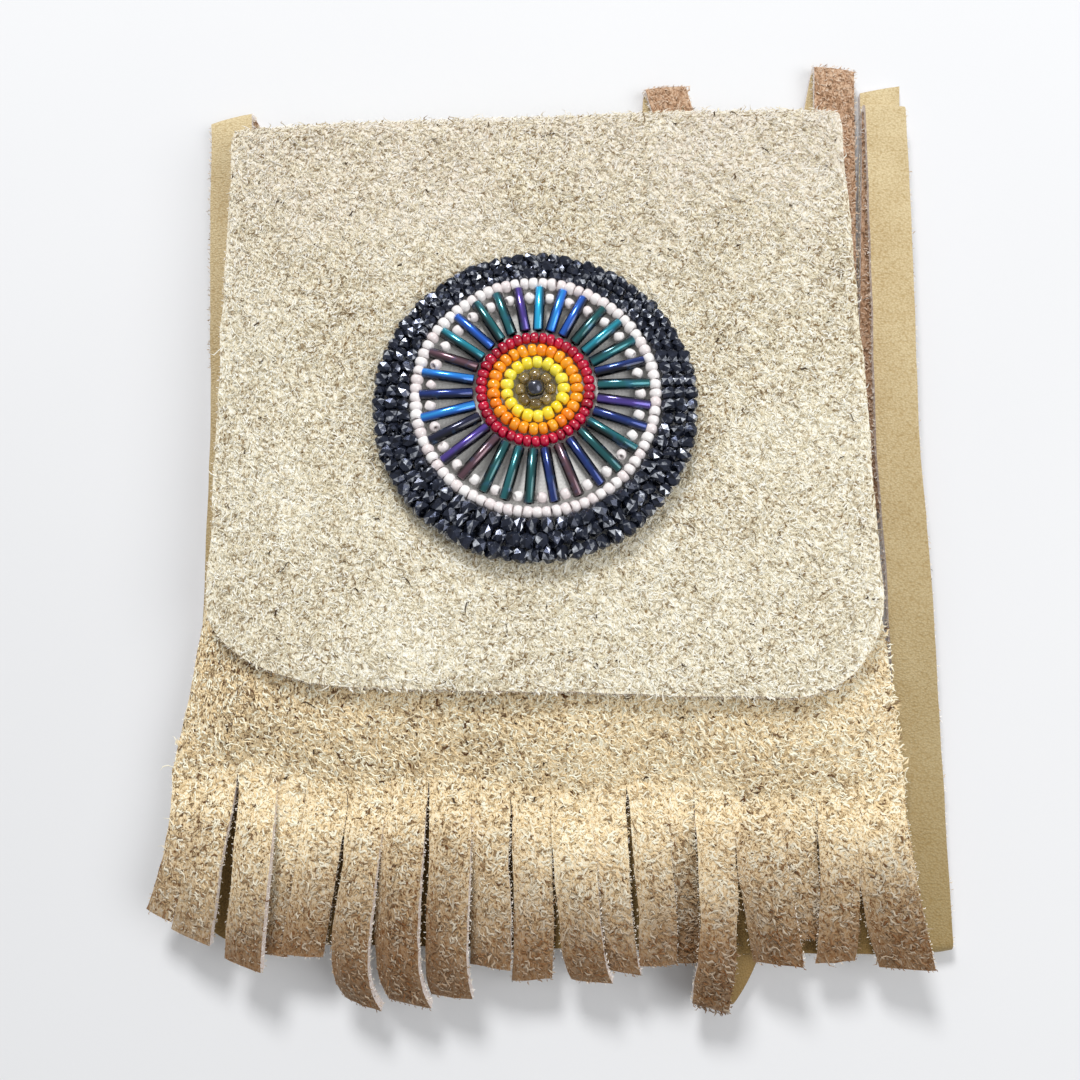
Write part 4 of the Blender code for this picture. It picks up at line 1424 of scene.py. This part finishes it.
def beadwork():
    """The cloth, the rings of beads and the bugles."""
    cloth = backing_piece(stiff_cloth())
    settle(cloth, "backing_cloth", "rosette_backing")
    tree = bead_tree()
    round_bead = seed_bead()
    faceted = cut_bead()
    empty = bpy.data.meshes.new("empty")
    middle = Vector((bead_middle.x, bead_middle.y, BEAD_SEAT))

    def ring(name, bead, look, slot, node, **sizes):
        values = {
            "start": 0.0, "row": 0.0, "pitch": 0.0, "pitch_change": 0.0,
            "unevenness": 0.07, "tilt": 0.2, "wander": 0.6 * MM, "middle": middle, "shift": 0.0,
        }
        values.update(sizes)
        made = grow(name, empty, tree, bead=bead, material=look, **values)
        settle(made, slot, *([node] if node else []))

    # Its lightest colour is painted glints on a few facets.
    hematite = metal_bead("hematite", paint(60, 60, 68), paint(92, 94, 106), paint(128, 130, 140),
                          Metallic=0.85)
    ring("centre_hematite_bead", round_bead, hematite, "hematite", "centre_bead",
         count=1, radius=0.0, thickness=3.0 * MM, length=2.6 * MM, seed=1, tilt=0.5)
    smoky = glass_bead("smoky_glass", paint(150, 122, 66), paint(214, 190, 128),
                       Transmission_Weight=0.7, IOR=1.5, Roughness=0.05)
    ring("smoky_beads", round_bead, smoky, "smoky_glass", "smoky_bead_ring",
         count=8, radius=2.5 * MM, thickness=1.85 * MM, length=1.7 * MM, seed=2)
    yellow = glass_bead("yellow_glass", paint(255, 222, 20), paint(255, 243, 84))
    ring("yellow_beads", round_bead, yellow, "yellow_glass", "yellow_bead_ring",
         count=17, radius=4.65 * MM, thickness=2.2 * MM, length=1.62 * MM, seed=3)
    amber = glass_bead("amber_glass", paint(250, 130, 4), paint(255, 176, 24))
    ring("amber_beads", round_bead, amber, "amber_glass", "amber_bead_ring",
         count=27, radius=6.8 * MM, thickness=2.15 * MM, length=1.52 * MM, seed=4)
    crimson = glass_bead("crimson_glass", paint(158, 4, 42), paint(206, 10, 62))
    ring("crimson_beads", round_bead, crimson, "crimson_glass", "crimson_bead_ring",
         count=40, radius=8.85 * MM, thickness=1.95 * MM, length=1.34 * MM, seed=5)
    pearl = glass_bead("pearl_glass", paint(238, 226, 226), paint(255, 253, 252))
    ring("spacer_beads", round_bead, pearl, "pearl_glass", None,
         count=30, radius=17.05 * MM, thickness=1.8 * MM, length=1.5 * MM, seed=6,
         start=BUGLE_TURN, tilt=0.8, shift=INNER_SHIFT)
    ring("pearl_beads", round_bead, pearl, "pearl_glass", "white_bead_ring",
         count=80, radius=19.55 * MM, thickness=2.05 * MM, length=1.5 * MM, seed=7,
         middle=ROSETTE_CENTRE)
    # The near-white light colour is painted glints on a few facets.
    gunmetal = metal_bead("gunmetal_glass", paint(12, 15, 24), paint(50, 56, 74), paint(232, 238, 248),
                          Metallic=0.7, Coat_Weight=0.35, Coat_Roughness=0.08)
    for row, (name, count) in enumerate((("inner", 63), ("middle", 69), ("outer", 75))):
        ring(f"gunmetal_beads_{name}", faceted, gunmetal, "gunmetal_glass",
             f"gunmetal_bead_row_{name}", count=count, radius=20.65 * MM, row=row + 0.5,
             pitch=1.87 * MM, pitch_change=0.48 * MM, thickness=0.25 * MM, length=2.05 * MM,
             seed=8 + row, unevenness=0.16, tilt=0.5, wander=1.3 * MM, middle=ROSETTE_CENTRE)
    bugles = bugle_piece(bugle_glass())
    settle(bugles, "bugle_glass", *[f"bugle_bead_{n + 1:02d}" for n in range(30)])


def lamp(name, place, size, power):
    """A round lamp that points at the bag."""
    light = bpy.data.lights.new(name, "AREA")
    light.shape = "DISK"
    light.size = size
    light.energy = power
    made = in_scene(name, light)
    made.location = place
    made.rotation_euler = (-Vector(place)).to_track_quat("-Z", "Y").to_euler()


def studio():
    """A pale floor, soft light and the camera over the fringe side of the bag."""
    mesh = bpy.data.meshes.new("floor")
    corners = [(-1, -1), (1, -1), (1, 1), (-1, 1)]
    corners = [(x * FLOOR_REACH, y * FLOOR_REACH, -FLOOR_DROP) for x, y in corners]
    mesh.from_pydata(corners, [], [(0, 1, 2, 3)])

    def build(bench):
        tone = bench.cloud(bench.place(), 8.0, 2.0)
        return {"Base Color": bench.ramp(tone, (0.0, paint(226, 227, 229)), (1.0, paint(232, 233, 235)))}

    mesh.materials.append(finish("floor_paper", build, Roughness=0.8, Specular_IOR_Level=0.2))
    in_scene("floor", mesh)

    lamp("main_lamp", (-0.15, 0.6, 0.62), 0.24, 5.1)
    lamp("fill_lamp", (0.42, -0.12, 0.5), 0.5, 1.8)
    world_light = bpy.data.worlds.new("studio")
    world_light.use_nodes = True
    background = world_light.node_tree.nodes["Background"]
    background.inputs["Color"].default_value = (1.0, 1.0, 1.0, 1.0)
    background.inputs["Strength"].default_value = WORLD_STRENGTH
    bpy.context.scene.world = world_light

    camera = bpy.data.cameras.new("camera")
    camera.sensor_width = SENSOR_WIDTH
    camera.lens = CAMERA_LENS
    camera.clip_start = 0.01
    made = in_scene("camera", camera)
    turned = Matrix.Rotation(CAMERA_YAW, 4, "Z") @ Matrix.Rotation(CAMERA_ROLL, 4, "Y")
    turned = turned @ Matrix.Rotation(CAMERA_TILT, 4, "X")
    made.matrix_world = Matrix.Translation(world(CAMERA_ACROSS, CAMERA_DOWN, CAMERA_HEIGHT)) @ turned
    bpy.context.scene.camera = made
    bpy.context.scene.view_settings.view_transform = "Standard"


studio()
leather_goods()
beadwork()
